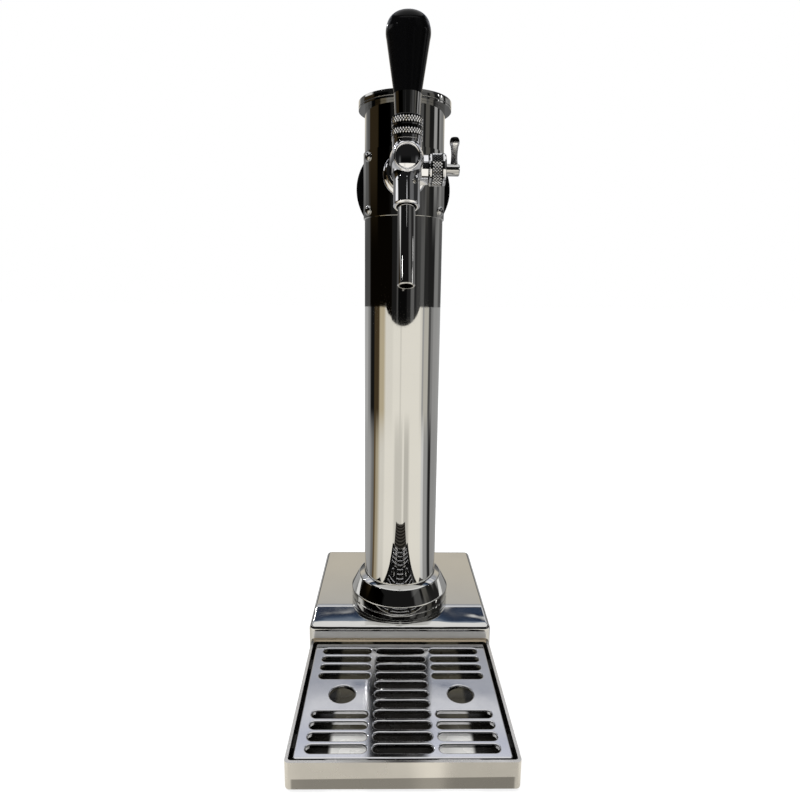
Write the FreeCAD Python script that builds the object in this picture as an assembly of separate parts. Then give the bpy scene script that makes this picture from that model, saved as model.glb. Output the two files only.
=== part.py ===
import FreeCAD, Part
import math
import os

# A single-tap beer tower: a 3 inch column on a pressed base box, a drip tray with a slotted grille, and a
# flow-control tap.
# Millimetres. +X is to the right of someone who faces the tap, +Y is to the back, +Z is up. The origin is on
# the table, under the middle of the whole object.

OUTPUT_FOLDER = "parts"
REACH = 400.0            # longer than any cut that has to run right through a piece
FIT_GAP = 0.05           # radial gap of a running fit
SCREW_GAP = 0.1          # radial gap between a screw and its hole

# Base box: one deep-drawn sheet, open underneath, with its edge turned in
SHEET = 1.5
BOX_WIDTH = 182.0
BOX_FRONT = -13.8
BOX_BACK = 160.0
BOX_BOTTOM = 3.0
BOX_TOP = 37.2
BOX_CORNER = 6.0
BOX_EDGE = 4.0
TURNED_IN = 10.0
GUSSET_RADIUS = 30.0     # large corners of the opening leave a gusset for each foot
FOOT_INSET = 14.0
FOOT_RADIUS = 6.0
FOOT_STEM_RADIUS = 2.4
FOOT_BARB_RADIUS = 3.4
FOOT_BARB_HEIGHT = 1.5

# Column and what stands on it
COLUMN_Y = 50.0
COLUMN_RADIUS = 38.1
COLUMN_WALL = 1.5
COLUMN_BORE = COLUMN_RADIUS - COLUMN_WALL
COLUMN_TOP = 536.3
RIM_RADIUS = 44.0
RIM_THICKNESS = 1.4
GASKET_THICKNESS = 0.6
CAP_THICKNESS = 5.5
CAP_CHAMFER = 0.7
SPIGOT_RADIUS = 36.2
SPIGOT_WALL = 2.2
SPIGOT_DEPTH = 12.0
CAP_GROOVE_DEPTH = 1.3
CAP_GROOVE_TOP = 5.0
CAP_GROOVE_WIDTH = 2.6
CAP_SEAL_SECTION = 0.8
BOX_HOLE_RADIUS = 34.0

# Turned foot flange
FLANGE_RADIUS = 52.0
FLANGE_SIDE = 14.4
FLANGE_SHOULDER_RADIUS = 44.0
FLANGE_SHOULDER = 29.1
FLANGE_HEIGHT = 31.0
FLANGE_GROOVE_AT = 6.3
FLANGE_GROOVE = 0.6
FLANGE_SCREW_CIRCLE = 45.0
FLANGE_SCREW_COUNT = 4
FLANGE_SCREW_RADIUS = 2.5
FLANGE_SCREW_HEAD_RADIUS = 5.0
FLANGE_SCREW_HEAD = 3.0
FLANGE_SCREW_REACH = 10.0

# Saddle band round the column behind the tap
BAND_THICKNESS = 1.2
BAND_RADIUS = COLUMN_RADIUS + BAND_THICKNESS
BAND_BOTTOM = 436.0
BAND_TOP = 496.0
BAND_HALF_ANGLE = 140.0
BAND_SCREW_ANGLE = 60.0
BAND_SCREW_INSET = 6.0
BAND_SCREW_RADIUS = 1.8
BAND_SCREW_HEAD_RADIUS = 4.6
BAND_SCREW_HEAD = 3.0
BAND_SCREW_REACH = 5.0

# Round medallion housing on the guest side
MEDALLION_Z = 471.0
MEDALLION_RADIUS = 48.7
MEDALLION_BACKING = 40.0     # distances from the column's axis, towards the back
MEDALLION_RECESS = 44.0
MEDALLION_EDGE = 50.0
MEDALLION_LIP = 2.1
MEDALLION_FOOT_RADIUS = 18.0
MEDALLION_FACE = 2.5
MEDALLION_SCREW_OFFSET = 10.0
MEDALLION_SCREW_RADIUS = 1.9
MEDALLION_SCREW_HEAD_RADIUS = 3.5
MEDALLION_SCREW_HEAD = 2.5
MEDALLION_SCREW_END = 42.0

# Tap. Distances along its barrel are measured forward from the column's axis.
TAP_Z = 470.5
ESCUTCHEON_RADIUS = 20.0
ESCUTCHEON_FRONT = 44.0
ESCUTCHEON_FACE_RADIUS = 15.5
SHANK_RADIUS = 11.1
SHANK_BORE = 3.2
SHANK_BACK = 2.0
SHANK_COLLAR_RADIUS = 13.2
SHANK_COLLAR_BACK = 48.6
SHANK_FRONT = 52.0
SADDLE_FLAT = 30.5           # flat side of the curved washer inside the column
SADDLE_RADIUS = 17.0
SHANK_NUT_FLATS = 30.0
SHANK_NUT_HEIGHT = 6.0
COUPLING_BACK = 45.0
COUPLING_FRONT = 59.0
COUPLING_RADIUS = 17.5
COUPLING_WALL = 3.5
COUPLING_CHAMFER = 0.8
SPANNER_HOLE_RADIUS = 2.2
SPANNER_HOLE_DEPTH = 2.4
SPANNER_HOLE_COUNT = 6
SPANNER_HOLE_START = 27.0
BODY_BACK = 53.5
BODY_THREAD_RADIUS = 14.2
BARREL_RADIUS = 14.0
NOSE_START = 98.0
NOSE_END = 111.0
NOSE_RADIUS = 10.9
INLET_RADIUS = 4.0
CHAMBER_START = 66.0
CHAMBER_RADIUS = 8.0
SEAT_START = 88.0
SEAT_END = 89.3
GUIDE_RADIUS = 6.2
FRONT_CAP_THREAD = 9.3
FRONT_CAP_BACK = 104.2
FRONT_CAP_BLIND = 107.5
FRONT_CAP_FACE = 112.6
FRONT_CAP_DOME = 39.0        # radius of the domed face
FRONT_CAP_RING = 113.0
FRONT_CAP_FACE_RADIUS = 8.8

# Lever, its bonnet and its handle. Heights along the lever are measured from its pivot.
LEVER_U = 99.0
LEVER_PIVOT_Z = 486.0
LEVER_OPEN = 30.0
LEVER_BALL = 6.5
LEVER_STEM = 4.0
LEVER_TONGUE = 2.2
LEVER_FINGER = 2.8
LEVER_FINGER_DROP = 14.0
LEVER_TOP = 42.0
NECK_RADIUS = 11.9
NECK_FILLET = 4.5            # rounding of the seam between neck and barrel
NECK_TOP = -1.4
NECK_THREAD_RADIUS = 9.6
NECK_THREAD_TOP = 1.5
SOCKET_BOTTOM = -6.7
BONNET_RADIUS = 12.6
BONNET_SKIRT_RADIUS = 12.3
BONNET_SKIRT_TOP = 1.1
BONNET_DOME = 14.5
COLLAR_HOLLOW = 15.0
COLLAR_RIM_RADIUS = 12.4
COLLAR_RIM_TOP = 9.4
COLLAR_TOP = 16.5
COLLAR_CHAMFER = 0.5
FERRULE_TOP = 33.0
FERRULE_LOW_RADIUS = 10.05
FERRULE_HIGH_RADIUS = 11.0
INSERT_RADIUS = 5.5
INSERT_TOP = 48.0
HANDLE_TAPER_TOP = 72.5
HANDLE_TAPER_RADIUS = 17.1
HANDLE_WIDEST = 76.5
HANDLE_RADIUS = 17.65
HANDLE_SHOULDER = 82.0
HANDLE_SHOULDER_RADIUS = 16.8
HANDLE_CROWN = 87.6
HANDLE_CROWN_RADIUS = 13.7
HANDLE_EDGE = 90.2
HANDLE_EDGE_RADIUS = 8.0
HANDLE_TOP = 90.7

# Shuttle valve, which the lever's finger pushes back off its seat
SHUTTLE_HEAD_BACK = 84.6
SHUTTLE_HEAD_FRONT = 87.2
SHUTTLE_HEAD_RADIUS = 7.2
SHUTTLE_NECK_RADIUS = 4.3
SHUTTLE_SEAL_FRONT = 88.85
SHUTTLE_SEAL_RADIUS = 7.5
SHUTTLE_SEAL_TIP = 6.5
SHUTTLE_BLOCK_BACK = 90.0
SHUTTLE_BLOCK_FRONT = 106.5
SHUTTLE_FLAT = 4.5
NOTCH_HALF_WIDTH = 3.2
NOTCH_HALF_LENGTH = 3.1
NOTCH_FLOOR = -1.8
NOTCH_RELIEF = 1.8           # the notch is longer in front, where the tilted tongue passes
NOTCH_RELIEF_FLOOR = 3.8

# Spout. Distances along it are measured down its axis from the barrel's axis.
SPOUT_U = 95.0
SPOUT_LEAN = 19.0
SOCKET_RADIUS = 10.75
SOCKET_ROOT_RADIUS = 12.2
SOCKET_ROOT = 13.0
SOCKET_WAIST = 21.0
SOCKET_FLARE = 0.25           # how far the flared root stands out half-way down
SOCKET_FLARE_AT = 17.0
SOCKET_MOUTH = 40.3
SOCKET_LIP = 1.7
SOCKET_BORE = 7.1
SOCKET_FLOOR = 22.0
SOCKET_COUNTERBORE = 8.4
SOCKET_COUNTERBORE_START = 34.0
SPOUT_SEAL_THICKNESS = 3.0
SPOUT_PASSAGE = 4.8
SPOUT_RADIUS = 7.0
SPOUT_BORE = 5.6
SPOUT_END = 106.0
SPOUT_END_CHAMFER = 0.6
SET_SCREW_ANGLE = 34.0
SET_SCREW_AT = 22.6
SET_SCREW_RADIUS = 2.0
SET_SCREW_DEPTH = 3.4
SET_SCREW_PROUD = 0.4

# Flow control on the barrel's right. Distances along it are measured from the barrel's axis.
FLOW_U = 72.0
FLOW_Z = 468.5
FLOW_NECK_RADIUS = 12.3
FLOW_NECK_END = 19.0
FLOW_NIPPLE_RADIUS = 9.0
FLOW_NIPPLE_END = 26.0
FLOW_BONNET_START = 19.3
FLOW_BONNET_END = 33.8
FLOW_BONNET_RADIUS = 13.2
FLOW_BONNET_CHAMFER = 0.8
FLOW_STEM_RADIUS = 5.0
FLOW_STEM_START = 8.4
FLOW_STEM_END = 45.4
FLOW_STEM_CHAMFER = 0.8
FLOW_COLLAR_RADIUS = 7.0
FLOW_COLLAR_START = 26.3
FLOW_COLLAR_END = 28.4
FLOW_SEAL_START = 20.0
FLOW_SEAL_END = 22.2
FLOW_SEAL_RADIUS = 6.4
FLOW_PIN_RADIUS = 1.2
FLOW_PIN_OFFSET = 1.5
FLOW_PIN_TIP = 4.2
FLOW_LEVER_AT = 40.9
FLOW_LEVER_PEG = 1.5
FLOW_LEVER_ROOT = 4.9
FLOW_LEVER_WAIST = 12.5
FLOW_LEVER_NECK = 19.6
FLOW_LEVER_HEAD = 21.0
FLOW_LEVER_TOP = 26.0
FLOW_LEVER_ROOT_RADIUS = 3.1
FLOW_LEVER_WAIST_RADIUS = 2.7
FLOW_LEVER_NECK_RADIUS = 3.5
FLOW_LEVER_HEAD_RADIUS = 4.1
FLOW_LEVER_CROWN_RADIUS = 2.9
COMPENSATOR_BACK = 56.5
COMPENSATOR_TIP_RADIUS = 3.6
COMPENSATOR_RADIUS = 6.6
COMPENSATOR_GROOVE = 1.6
COMPENSATOR_CORE = 3.4
COMPENSATOR_FLANGE = 1.0

# Tail piece, beer line and inlet
LINE_RADIUS = 4.75
LINE_BORE = 2.5
LINE_Y = COLUMN_Y + 12.0
LINE_TOP = 461.8
LINE_Z = 18.0
LINE_BEND = 48.0
LINE_END = 150.0
TAIL_WASHER_BACK = 0.0
TAIL_FLANGE_BACK = -2.4
TAIL_NUT_BACK = -6.0
TAIL_NUT_FRONT = 9.0
TAIL_NUT_FLATS = 27.0
TAIL_FLANGE_RADIUS = 9.5
ELBOW_RADIUS = 6.0
ELBOW_SHOULDER = 462.0
BARB_RADIUS = 2.45
BARB_BOTTOM = 446.0
BARB_BORE = 1.7
CLAMP_BOTTOM = 450.0
CLAMP_HEIGHT = 6.0
CLAMP_WALL = 1.2
CLAMP_EAR = 3.0
INLET_END = 170.0
INLET_HEX_END = 165.0
INLET_HEX_FLATS = 19.0
INLET_COLLET_RADIUS = 7.5
INLET_THREAD_RADIUS = 8.0
INLET_INNER_END = 142.0
INLET_SOCKET_RADIUS = 4.8
INLET_WEB = 2.0
INLET_NUT_FLATS = 22.0
INLET_NUT_HEIGHT = 5.0

# Drip tray, its grille and what carries it
TRAY_WIDTH = 175.6
TRAY_FRONT = -170.0
TRAY_BACK = -14.3
TRAY_BOTTOM = 2.0
TRAY_TOP = 25.7
TRAY_SHEET = 1.2
TRAY_CORNER = 3.5
TRAY_HEEL = 2.0
TRAY_HEM = 6.0
PAD_RADIUS = 7.0
PAD_INSET = 18.0
GRILLE_WIDTH = 165.6
GRILLE_FRONT = -164.6
GRILLE_BACK = -21.5
GRILLE_TOP = 24.2
GRILLE_LIP = 6.0
GRILLE_CORNER = 2.5
GRILLE_EDGE = 1.6
SLOT_LENGTH = 46.0
SLOT_WIDTH = 8.4
SLOT_PITCH = 12.15
SLOT_ROWS = 11
SLOT_CENTRE_Y = -94.1
SLOT_ROLL = 1.3              # radius of the rolled edge round each slot and finger hole
SLOT_COLLAR = 3.2            # how far down that edge is turned
COLUMN_PITCH = 51.0
CLEAR_ROWS = 1               # rows left out each side of the finger holes' row
FINGER_HOLE_RADIUS = 11.0
BRACKET_LENGTH = 14.0
BRACKET_WIDTH = 9.0
BRACKET_SETBACK = 24.0

X_AXIS = FreeCAD.Vector(1, 0, 0)
BACKWARD = FreeCAD.Vector(0, 1, 0)
FORWARD = FreeCAD.Vector(0, -1, 0)
UP = FreeCAD.Vector(0, 0, 1)
DOWN = FreeCAD.Vector(0, 0, -1)

COLUMN_FOOT = FreeCAD.Vector(0, COLUMN_Y, BOX_TOP)
TAP_ORIGIN = FreeCAD.Vector(0, COLUMN_Y, TAP_Z)
LEVER_PIVOT = FreeCAD.Vector(0, COLUMN_Y - LEVER_U, LEVER_PIVOT_Z)
FLOW_ORIGIN = FreeCAD.Vector(0, COLUMN_Y - FLOW_U, FLOW_Z)
MEDALLION_ORIGIN = FreeCAD.Vector(0, COLUMN_Y, MEDALLION_Z)
SPOUT_ORIGIN = FreeCAD.Vector(0, COLUMN_Y - SPOUT_U, TAP_Z)
SPOUT_TURN = math.radians(SPOUT_LEAN)
SPOUT_AXIS = FreeCAD.Vector(0, -math.sin(SPOUT_TURN), -math.cos(SPOUT_TURN))
SPOUT_FRONT = FreeCAD.Vector(0, -math.cos(SPOUT_TURN), math.sin(SPOUT_TURN))


def cylinder(radius, start, axis, length):
    """A solid round bar from start along axis."""
    return Part.makeCylinder(radius, length, start, axis)


def tube(outer, inner, start, axis, length):
    """A round tube from start along axis."""
    return cylinder(outer, start, axis, length).cut(cylinder(inner, start, axis, length))


def box(low, high):
    """A block between two opposite corners."""
    return Part.makeBox(high[0] - low[0], high[1] - low[1], high[2] - low[2], FreeCAD.Vector(*low))


def placed(shape, origin, axis):
    """The shape, made along +Z at the origin, moved so that it starts at origin and runs along axis."""
    shape.Placement = FreeCAD.Placement(origin, FreeCAD.Rotation(UP, axis))
    return shape


def turned(steps, origin, axis):
    """A turned solid. Each step is the next corner of its half outline, as (radius, distance along axis),
    or a pair of such points for an arc: one that it passes through, and its end."""
    edges = []
    start = FreeCAD.Vector(steps[0][0], 0, steps[0][1])
    for step in steps[1:] + steps[:1]:
        if isinstance(step[0], tuple):
            middle = FreeCAD.Vector(step[0][0], 0, step[0][1])
            end = FreeCAD.Vector(step[1][0], 0, step[1][1])
            edges.append(Part.Arc(start, middle, end).toShape())
        else:
            end = FreeCAD.Vector(step[0], 0, step[1])
            edges.append(Part.LineSegment(start, end).toShape())
        start = end
    face = Part.Face(Part.Wire(edges))
    return placed(face.revolve(FreeCAD.Vector(), UP, 360), origin, axis)


def hexagon(flats, start, axis, length):
    """A hexagonal bar, given its size across the flats."""
    radius = flats / math.sqrt(3)
    corners = []
    for corner in range(7):
        angle = math.radians(60 * corner)
        corners.append(FreeCAD.Vector(radius * math.cos(angle), radius * math.sin(angle), 0))
    prism = Part.Face(Part.makePolygon(corners)).extrude(UP * length)
    return placed(prism, start, axis)


def is_upright(edge):
    """True for a straight edge along Z."""
    bounds = edge.BoundBox
    return bounds.XLength < FIT_GAP and bounds.YLength < FIT_GAP


def lies_at(edge, height):
    """True for an edge that lies flat at a height."""
    bounds = edge.BoundBox
    return bounds.ZLength < FIT_GAP and abs(bounds.ZMin - height) < FIT_GAP


def rounded_block(low, high, corner, edge_radius=0.0, edge_height=None):
    """A block with rounded upright corners, and with one flat rim rounded as well if a radius is given."""
    block = box(low, high)
    block = block.makeFillet(corner, [edge for edge in block.Edges if is_upright(edge)])
    if edge_radius:
        block = block.makeFillet(edge_radius, [edge for edge in block.Edges if lies_at(edge, edge_height)])
    return block


def around(radius, count, start_angle):
    """Points on a circle in the XZ plane, counted from +X towards +Z."""
    points = []
    for index in range(count):
        angle = math.radians(start_angle + 360 * index / count)
        points.append(FreeCAD.Vector(radius * math.cos(angle), 0, radius * math.sin(angle)))
    return points


def radial(angle):
    """The direction out of the column, with 0 at the front and positive angles to the right."""
    turn = math.radians(angle)
    return FreeCAD.Vector(math.sin(turn), -math.cos(turn), 0)


def save(name, shape):
    """Write one piece, after a check that it is sound."""
    solid = shape.removeSplitter()
    if not solid.isValid() or not solid.Solids:
        raise ValueError(name + " isn't a sound solid")
    solid.exportStep(os.path.join(OUTPUT_FOLDER, name + ".step"))
    print(name, len(solid.Solids), "solid(s)", round(solid.Volume), "mm3")
    return solid


def foot_places():
    """Centres of the box's four feet."""
    places = []
    for side in (-1, 1):
        for y in (BOX_FRONT + FOOT_INSET, BOX_BACK - FOOT_INSET):
            places.append(FreeCAD.Vector(side * (BOX_WIDTH / 2 - FOOT_INSET), y, 0))
    return places


def flange_screw_places():
    """Centres of the foot flange's screws, at the top of the box."""
    places = []
    for index in range(FLANGE_SCREW_COUNT):
        direction = radial(45 + 360 * index / FLANGE_SCREW_COUNT)
        places.append(COLUMN_FOOT + direction * FLANGE_SCREW_CIRCLE)
    return places


def base_box():
    half = BOX_WIDTH / 2
    outer = rounded_block((-half, BOX_FRONT, BOX_BOTTOM), (half, BOX_BACK, BOX_TOP),
                          BOX_CORNER, BOX_EDGE, BOX_TOP)
    inner_top = BOX_TOP - SHEET
    inner = rounded_block((-half + SHEET, BOX_FRONT + SHEET, BOX_BOTTOM + SHEET),
                          (half - SHEET, BOX_BACK - SHEET, inner_top),
                          BOX_CORNER - SHEET, BOX_EDGE - SHEET, inner_top)
    mouth = rounded_block((-half + TURNED_IN, BOX_FRONT + TURNED_IN, 0),
                          (half - TURNED_IN, BOX_BACK - TURNED_IN, BOX_BOTTOM + TURNED_IN), GUSSET_RADIUS)
    shell = outer.cut(inner).cut(mouth)
    shell = shell.cut(cylinder(BOX_HOLE_RADIUS, COLUMN_FOOT, DOWN, BOX_EDGE))
    for place in flange_screw_places():
        shell = shell.cut(cylinder(FLANGE_SCREW_RADIUS + SCREW_GAP, place, DOWN, BOX_EDGE))
    for place in foot_places():
        shell = shell.cut(cylinder(FOOT_STEM_RADIUS, place, UP, BOX_BOTTOM + TURNED_IN))
    back_wall = FreeCAD.Vector(0, BOX_BACK - BOX_EDGE, LINE_Z)
    return shell.cut(cylinder(INLET_THREAD_RADIUS + SCREW_GAP, back_wall, BACKWARD, REACH))


def base_feet():
    barb_start = BOX_BOTTOM + SHEET
    barb_top = barb_start + FOOT_BARB_HEIGHT
    outline = [(0, 0), (FOOT_RADIUS - 0.6, 0), (FOOT_RADIUS, 0.6), (FOOT_RADIUS - 0.4, BOX_BOTTOM),
               (FOOT_STEM_RADIUS, BOX_BOTTOM), (FOOT_STEM_RADIUS, barb_start),
               (FOOT_BARB_RADIUS, barb_start), (FOOT_STEM_RADIUS, barb_top), (0, barb_top)]
    return Part.makeCompound([turned(outline, place, UP) for place in foot_places()])


def tower_flange():
    bore = COLUMN_RADIUS + FIT_GAP
    groove = FLANGE_GROOVE
    outline = [(bore, 0), (FLANGE_RADIUS, 0), (FLANGE_RADIUS, FLANGE_GROOVE_AT - groove),
               (FLANGE_RADIUS - groove, FLANGE_GROOVE_AT), (FLANGE_RADIUS, FLANGE_GROOVE_AT + groove),
               (FLANGE_RADIUS, FLANGE_SIDE - groove), (FLANGE_RADIUS - groove, FLANGE_SIDE),
               (FLANGE_SHOULDER_RADIUS + groove, FLANGE_SHOULDER - groove),
               (FLANGE_SHOULDER_RADIUS, FLANGE_SHOULDER), (bore, FLANGE_HEIGHT)]
    flange = turned(outline, COLUMN_FOOT, UP)
    for place in flange_screw_places():
        flange = flange.cut(cylinder(FLANGE_SCREW_RADIUS + SCREW_GAP, place, UP, FLANGE_SCREW_REACH + 2))
    return flange


def flange_screws():
    underside = SHEET
    outline = [(0, -FLANGE_SCREW_REACH), (FLANGE_SCREW_RADIUS, -FLANGE_SCREW_REACH),
               (FLANGE_SCREW_RADIUS, underside), (FLANGE_SCREW_HEAD_RADIUS, underside),
               (FLANGE_SCREW_HEAD_RADIUS - 1, underside + FLANGE_SCREW_HEAD),
               (0, underside + FLANGE_SCREW_HEAD)]
    return Part.makeCompound([turned(outline, place, DOWN) for place in flange_screw_places()])


def band_screw_places():
    """A point on the column's axis and a direction for each screw of the saddle band."""
    places = []
    for height in (BAND_BOTTOM + BAND_SCREW_INSET, BAND_TOP - BAND_SCREW_INSET):
        for angle in (-BAND_SCREW_ANGLE, BAND_SCREW_ANGLE):
            places.append((FreeCAD.Vector(0, COLUMN_Y, height), radial(angle)))
    return places


def medallion_screw_places():
    """A point on the column's axis for each screw of the medallion housing."""
    return [MEDALLION_ORIGIN + UP * offset for offset in (-MEDALLION_SCREW_OFFSET, MEDALLION_SCREW_OFFSET)]


def tower_tube():
    height = COLUMN_TOP - BOX_TOP
    pipe = cylinder(COLUMN_RADIUS, COLUMN_FOOT, UP, height)
    rim = cylinder(RIM_RADIUS, FreeCAD.Vector(0, COLUMN_Y, COLUMN_TOP), DOWN, RIM_THICKNESS)
    pipe = pipe.fuse(rim).cut(cylinder(COLUMN_BORE, COLUMN_FOOT, UP, height))
    pipe = pipe.cut(cylinder(SHANK_RADIUS + SCREW_GAP, TAP_ORIGIN, FORWARD, BAND_RADIUS))
    for start, direction in band_screw_places():
        pipe = pipe.cut(cylinder(BAND_SCREW_RADIUS, start, direction, BAND_RADIUS))
    for start in medallion_screw_places():
        pipe = pipe.cut(cylinder(MEDALLION_SCREW_RADIUS + SCREW_GAP, start, BACKWARD, BAND_RADIUS))
    return pipe


def cap_gasket():
    return tube(RIM_RADIUS, COLUMN_BORE, FreeCAD.Vector(0, COLUMN_Y, COLUMN_TOP), UP, GASKET_THICKNESS)


def cap_underside():
    """Centre of the cap's seat on its gasket."""
    return FreeCAD.Vector(0, COLUMN_Y, COLUMN_TOP + GASKET_THICKNESS)


def top_cap():
    chamfer = CAP_CHAMFER
    groove_radius = SPIGOT_RADIUS - CAP_GROOVE_DEPTH
    groove_bottom = -CAP_GROOVE_TOP - CAP_GROOVE_WIDTH
    spigot_bore = SPIGOT_RADIUS - SPIGOT_WALL
    outline = [(0, CAP_THICKNESS), (RIM_RADIUS - chamfer, CAP_THICKNESS),
               (RIM_RADIUS, CAP_THICKNESS - chamfer), (RIM_RADIUS, chamfer), (RIM_RADIUS - chamfer, 0),
               (SPIGOT_RADIUS, 0), (SPIGOT_RADIUS, -CAP_GROOVE_TOP), (groove_radius, -CAP_GROOVE_TOP),
               (groove_radius, groove_bottom), (SPIGOT_RADIUS, groove_bottom),
               (SPIGOT_RADIUS, -SPIGOT_DEPTH), (spigot_bore, -SPIGOT_DEPTH), (spigot_bore, SPIGOT_WALL),
               (0, SPIGOT_WALL)]
    return turned(outline, cap_underside(), UP)


def cap_seal():
    centre_radius = SPIGOT_RADIUS - CAP_GROOVE_DEPTH + CAP_SEAL_SECTION + FIT_GAP
    height = CAP_GROOVE_TOP + CAP_GROOVE_WIDTH / 2
    return Part.makeTorus(centre_radius, CAP_SEAL_SECTION, cap_underside() - UP * height, UP)


def saddle_band():
    height = BAND_TOP - BAND_BOTTOM
    start = FreeCAD.Vector(0, COLUMN_Y, BAND_BOTTOM)
    sector = Part.makeCylinder(BAND_RADIUS, height, start, UP, 2 * BAND_HALF_ANGLE)
    sector.rotate(start, UP, -90 - BAND_HALF_ANGLE)
    band = sector.cut(cylinder(COLUMN_RADIUS, start, UP, height))
    band = band.cut(cylinder(SHANK_RADIUS + SCREW_GAP, TAP_ORIGIN, FORWARD, REACH))
    for screw_start, direction in band_screw_places():
        band = band.cut(cylinder(BAND_SCREW_RADIUS, screw_start, direction, REACH))
    return band


def saddle_screws():
    tip = COLUMN_BORE - BAND_SCREW_REACH
    top = BAND_RADIUS + BAND_SCREW_HEAD
    head = BAND_SCREW_HEAD_RADIUS
    outline = [(0, tip), (BAND_SCREW_RADIUS, tip), (BAND_SCREW_RADIUS, BAND_RADIUS), (head, BAND_RADIUS),
               ((head * 0.75, BAND_RADIUS + BAND_SCREW_HEAD * 0.7), (0, top))]
    column = cylinder(BAND_RADIUS, COLUMN_FOOT, UP, REACH * 2)
    screws = []
    for start, direction in band_screw_places():
        screw = turned(outline, start, direction)
        skirt = cylinder(head, start + direction * (BAND_RADIUS - 1), direction, 1).cut(column)
        screws.append(screw.fuse(skirt))
    return Part.makeCompound(screws)


def medallion_housing():
    edge = MEDALLION_EDGE
    rim = MEDALLION_RADIUS
    recess_radius = rim - MEDALLION_LIP
    outline = [(0, COLUMN_BORE / 2), (MEDALLION_FOOT_RADIUS, COLUMN_BORE / 2),
               (MEDALLION_FOOT_RADIUS, MEDALLION_BACKING), (rim - 1.2, MEDALLION_BACKING),
               (rim, MEDALLION_BACKING + 1.2), (rim, edge - 0.8), (rim - 0.8, edge), (recess_radius, edge),
               (recess_radius, MEDALLION_RECESS), (0, MEDALLION_RECESS)]
    housing = turned(outline, MEDALLION_ORIGIN, BACKWARD)
    housing = housing.cut(cylinder(COLUMN_RADIUS, COLUMN_FOOT, UP, REACH * 2))
    for start in medallion_screw_places():
        depth = MEDALLION_SCREW_END + 1
        housing = housing.cut(cylinder(MEDALLION_SCREW_RADIUS + SCREW_GAP, start, BACKWARD, depth))
    return housing


def medallion_face():
    radius = MEDALLION_RADIUS - MEDALLION_LIP - SCREW_GAP
    front = MEDALLION_RECESS + MEDALLION_FACE
    outline = [(0, MEDALLION_RECESS), (radius, MEDALLION_RECESS), (radius, front - 0.5),
               (radius - 0.5, front), (0, front)]
    return turned(outline, MEDALLION_ORIGIN, BACKWARD)


def medallion_screws():
    head_seat = COLUMN_BORE - 2 * SCREW_GAP
    head_back = head_seat - MEDALLION_SCREW_HEAD
    outline = [(0, head_back), (MEDALLION_SCREW_HEAD_RADIUS, head_back),
               (MEDALLION_SCREW_HEAD_RADIUS, head_seat), (MEDALLION_SCREW_RADIUS, head_seat),
               (MEDALLION_SCREW_RADIUS, MEDALLION_SCREW_END), (0, MEDALLION_SCREW_END)]
    return Part.makeCompound([turned(outline, start, BACKWARD) for start in medallion_screw_places()])


def shank_flange():
    front = ESCUTCHEON_FRONT
    hole = SHANK_RADIUS + FIT_GAP
    shoulder = front - 2.4
    outline = [(hole, 30), (ESCUTCHEON_RADIUS, 30), (ESCUTCHEON_RADIUS, shoulder),
               ((ESCUTCHEON_RADIUS - 1.2, front - 0.9), (ESCUTCHEON_FACE_RADIUS, front)), (hole, front)]
    disc = turned(outline, TAP_ORIGIN, FORWARD)
    return disc.cut(cylinder(BAND_RADIUS, COLUMN_FOOT, UP, REACH * 2))


def shank():
    outline = [(SHANK_BORE, SHANK_BACK), (SHANK_RADIUS, SHANK_BACK), (SHANK_RADIUS, SHANK_COLLAR_BACK),
               (SHANK_COLLAR_RADIUS, SHANK_COLLAR_BACK), (SHANK_COLLAR_RADIUS, SHANK_FRONT),
               (SHANK_BORE, SHANK_FRONT)]
    return turned(outline, TAP_ORIGIN, FORWARD)


def shank_saddle():
    start = TAP_ORIGIN + FORWARD * SADDLE_FLAT
    washer = tube(SADDLE_RADIUS, SHANK_RADIUS + SCREW_GAP, start, FORWARD, COLUMN_BORE)
    return washer.common(cylinder(COLUMN_BORE, COLUMN_FOOT, UP, REACH * 2))


def shank_nut():
    start = TAP_ORIGIN + FORWARD * (SADDLE_FLAT - SHANK_NUT_HEIGHT)
    nut = hexagon(SHANK_NUT_FLATS, start, FORWARD, SHANK_NUT_HEIGHT)
    return nut.cut(cylinder(SHANK_RADIUS + FIT_GAP, start, FORWARD, SHANK_NUT_HEIGHT))


def coupling_nut():
    chamfer = COUPLING_CHAMFER
    wall_front = COUPLING_BACK + COUPLING_WALL
    thread = BODY_THREAD_RADIUS + FIT_GAP
    hole = SHANK_RADIUS + SCREW_GAP
    outline = [(hole, COUPLING_BACK), (COUPLING_RADIUS - chamfer, COUPLING_BACK),
               (COUPLING_RADIUS, COUPLING_BACK + chamfer), (COUPLING_RADIUS, COUPLING_FRONT - chamfer),
               (COUPLING_RADIUS - chamfer, COUPLING_FRONT), (thread, COUPLING_FRONT),
               (thread, wall_front), (hole, wall_front)]
    nut = turned(outline, TAP_ORIGIN, FORWARD)
    middle = TAP_ORIGIN + FORWARD * ((COUPLING_BACK + COUPLING_FRONT) / 2)
    for spoke in around(COUPLING_RADIUS - SPANNER_HOLE_DEPTH, SPANNER_HOLE_COUNT, SPANNER_HOLE_START):
        nut = nut.cut(cylinder(SPANNER_HOLE_RADIUS, middle + spoke, spoke, COUPLING_RADIUS))
    return nut


def coupling_washer():
    start = TAP_ORIGIN + FORWARD * SHANK_FRONT
    return tube(SHANK_COLLAR_RADIUS, INLET_RADIUS, start, FORWARD, BODY_BACK - SHANK_FRONT)


def spout_point(distance):
    """A point on the spout's axis."""
    return SPOUT_ORIGIN + SPOUT_AXIS * distance


def set_screw_direction():
    """The direction in which the spout's set screw faces."""
    angle = math.radians(SET_SCREW_ANGLE)
    return X_AXIS * math.sin(angle) + SPOUT_FRONT * math.cos(angle)


def seam_edges(shape):
    """The curved edges along which the round parts of a casting meet."""
    return [edge for edge in shape.Edges if isinstance(edge.Curve, Part.BSplineCurve)]


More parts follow.
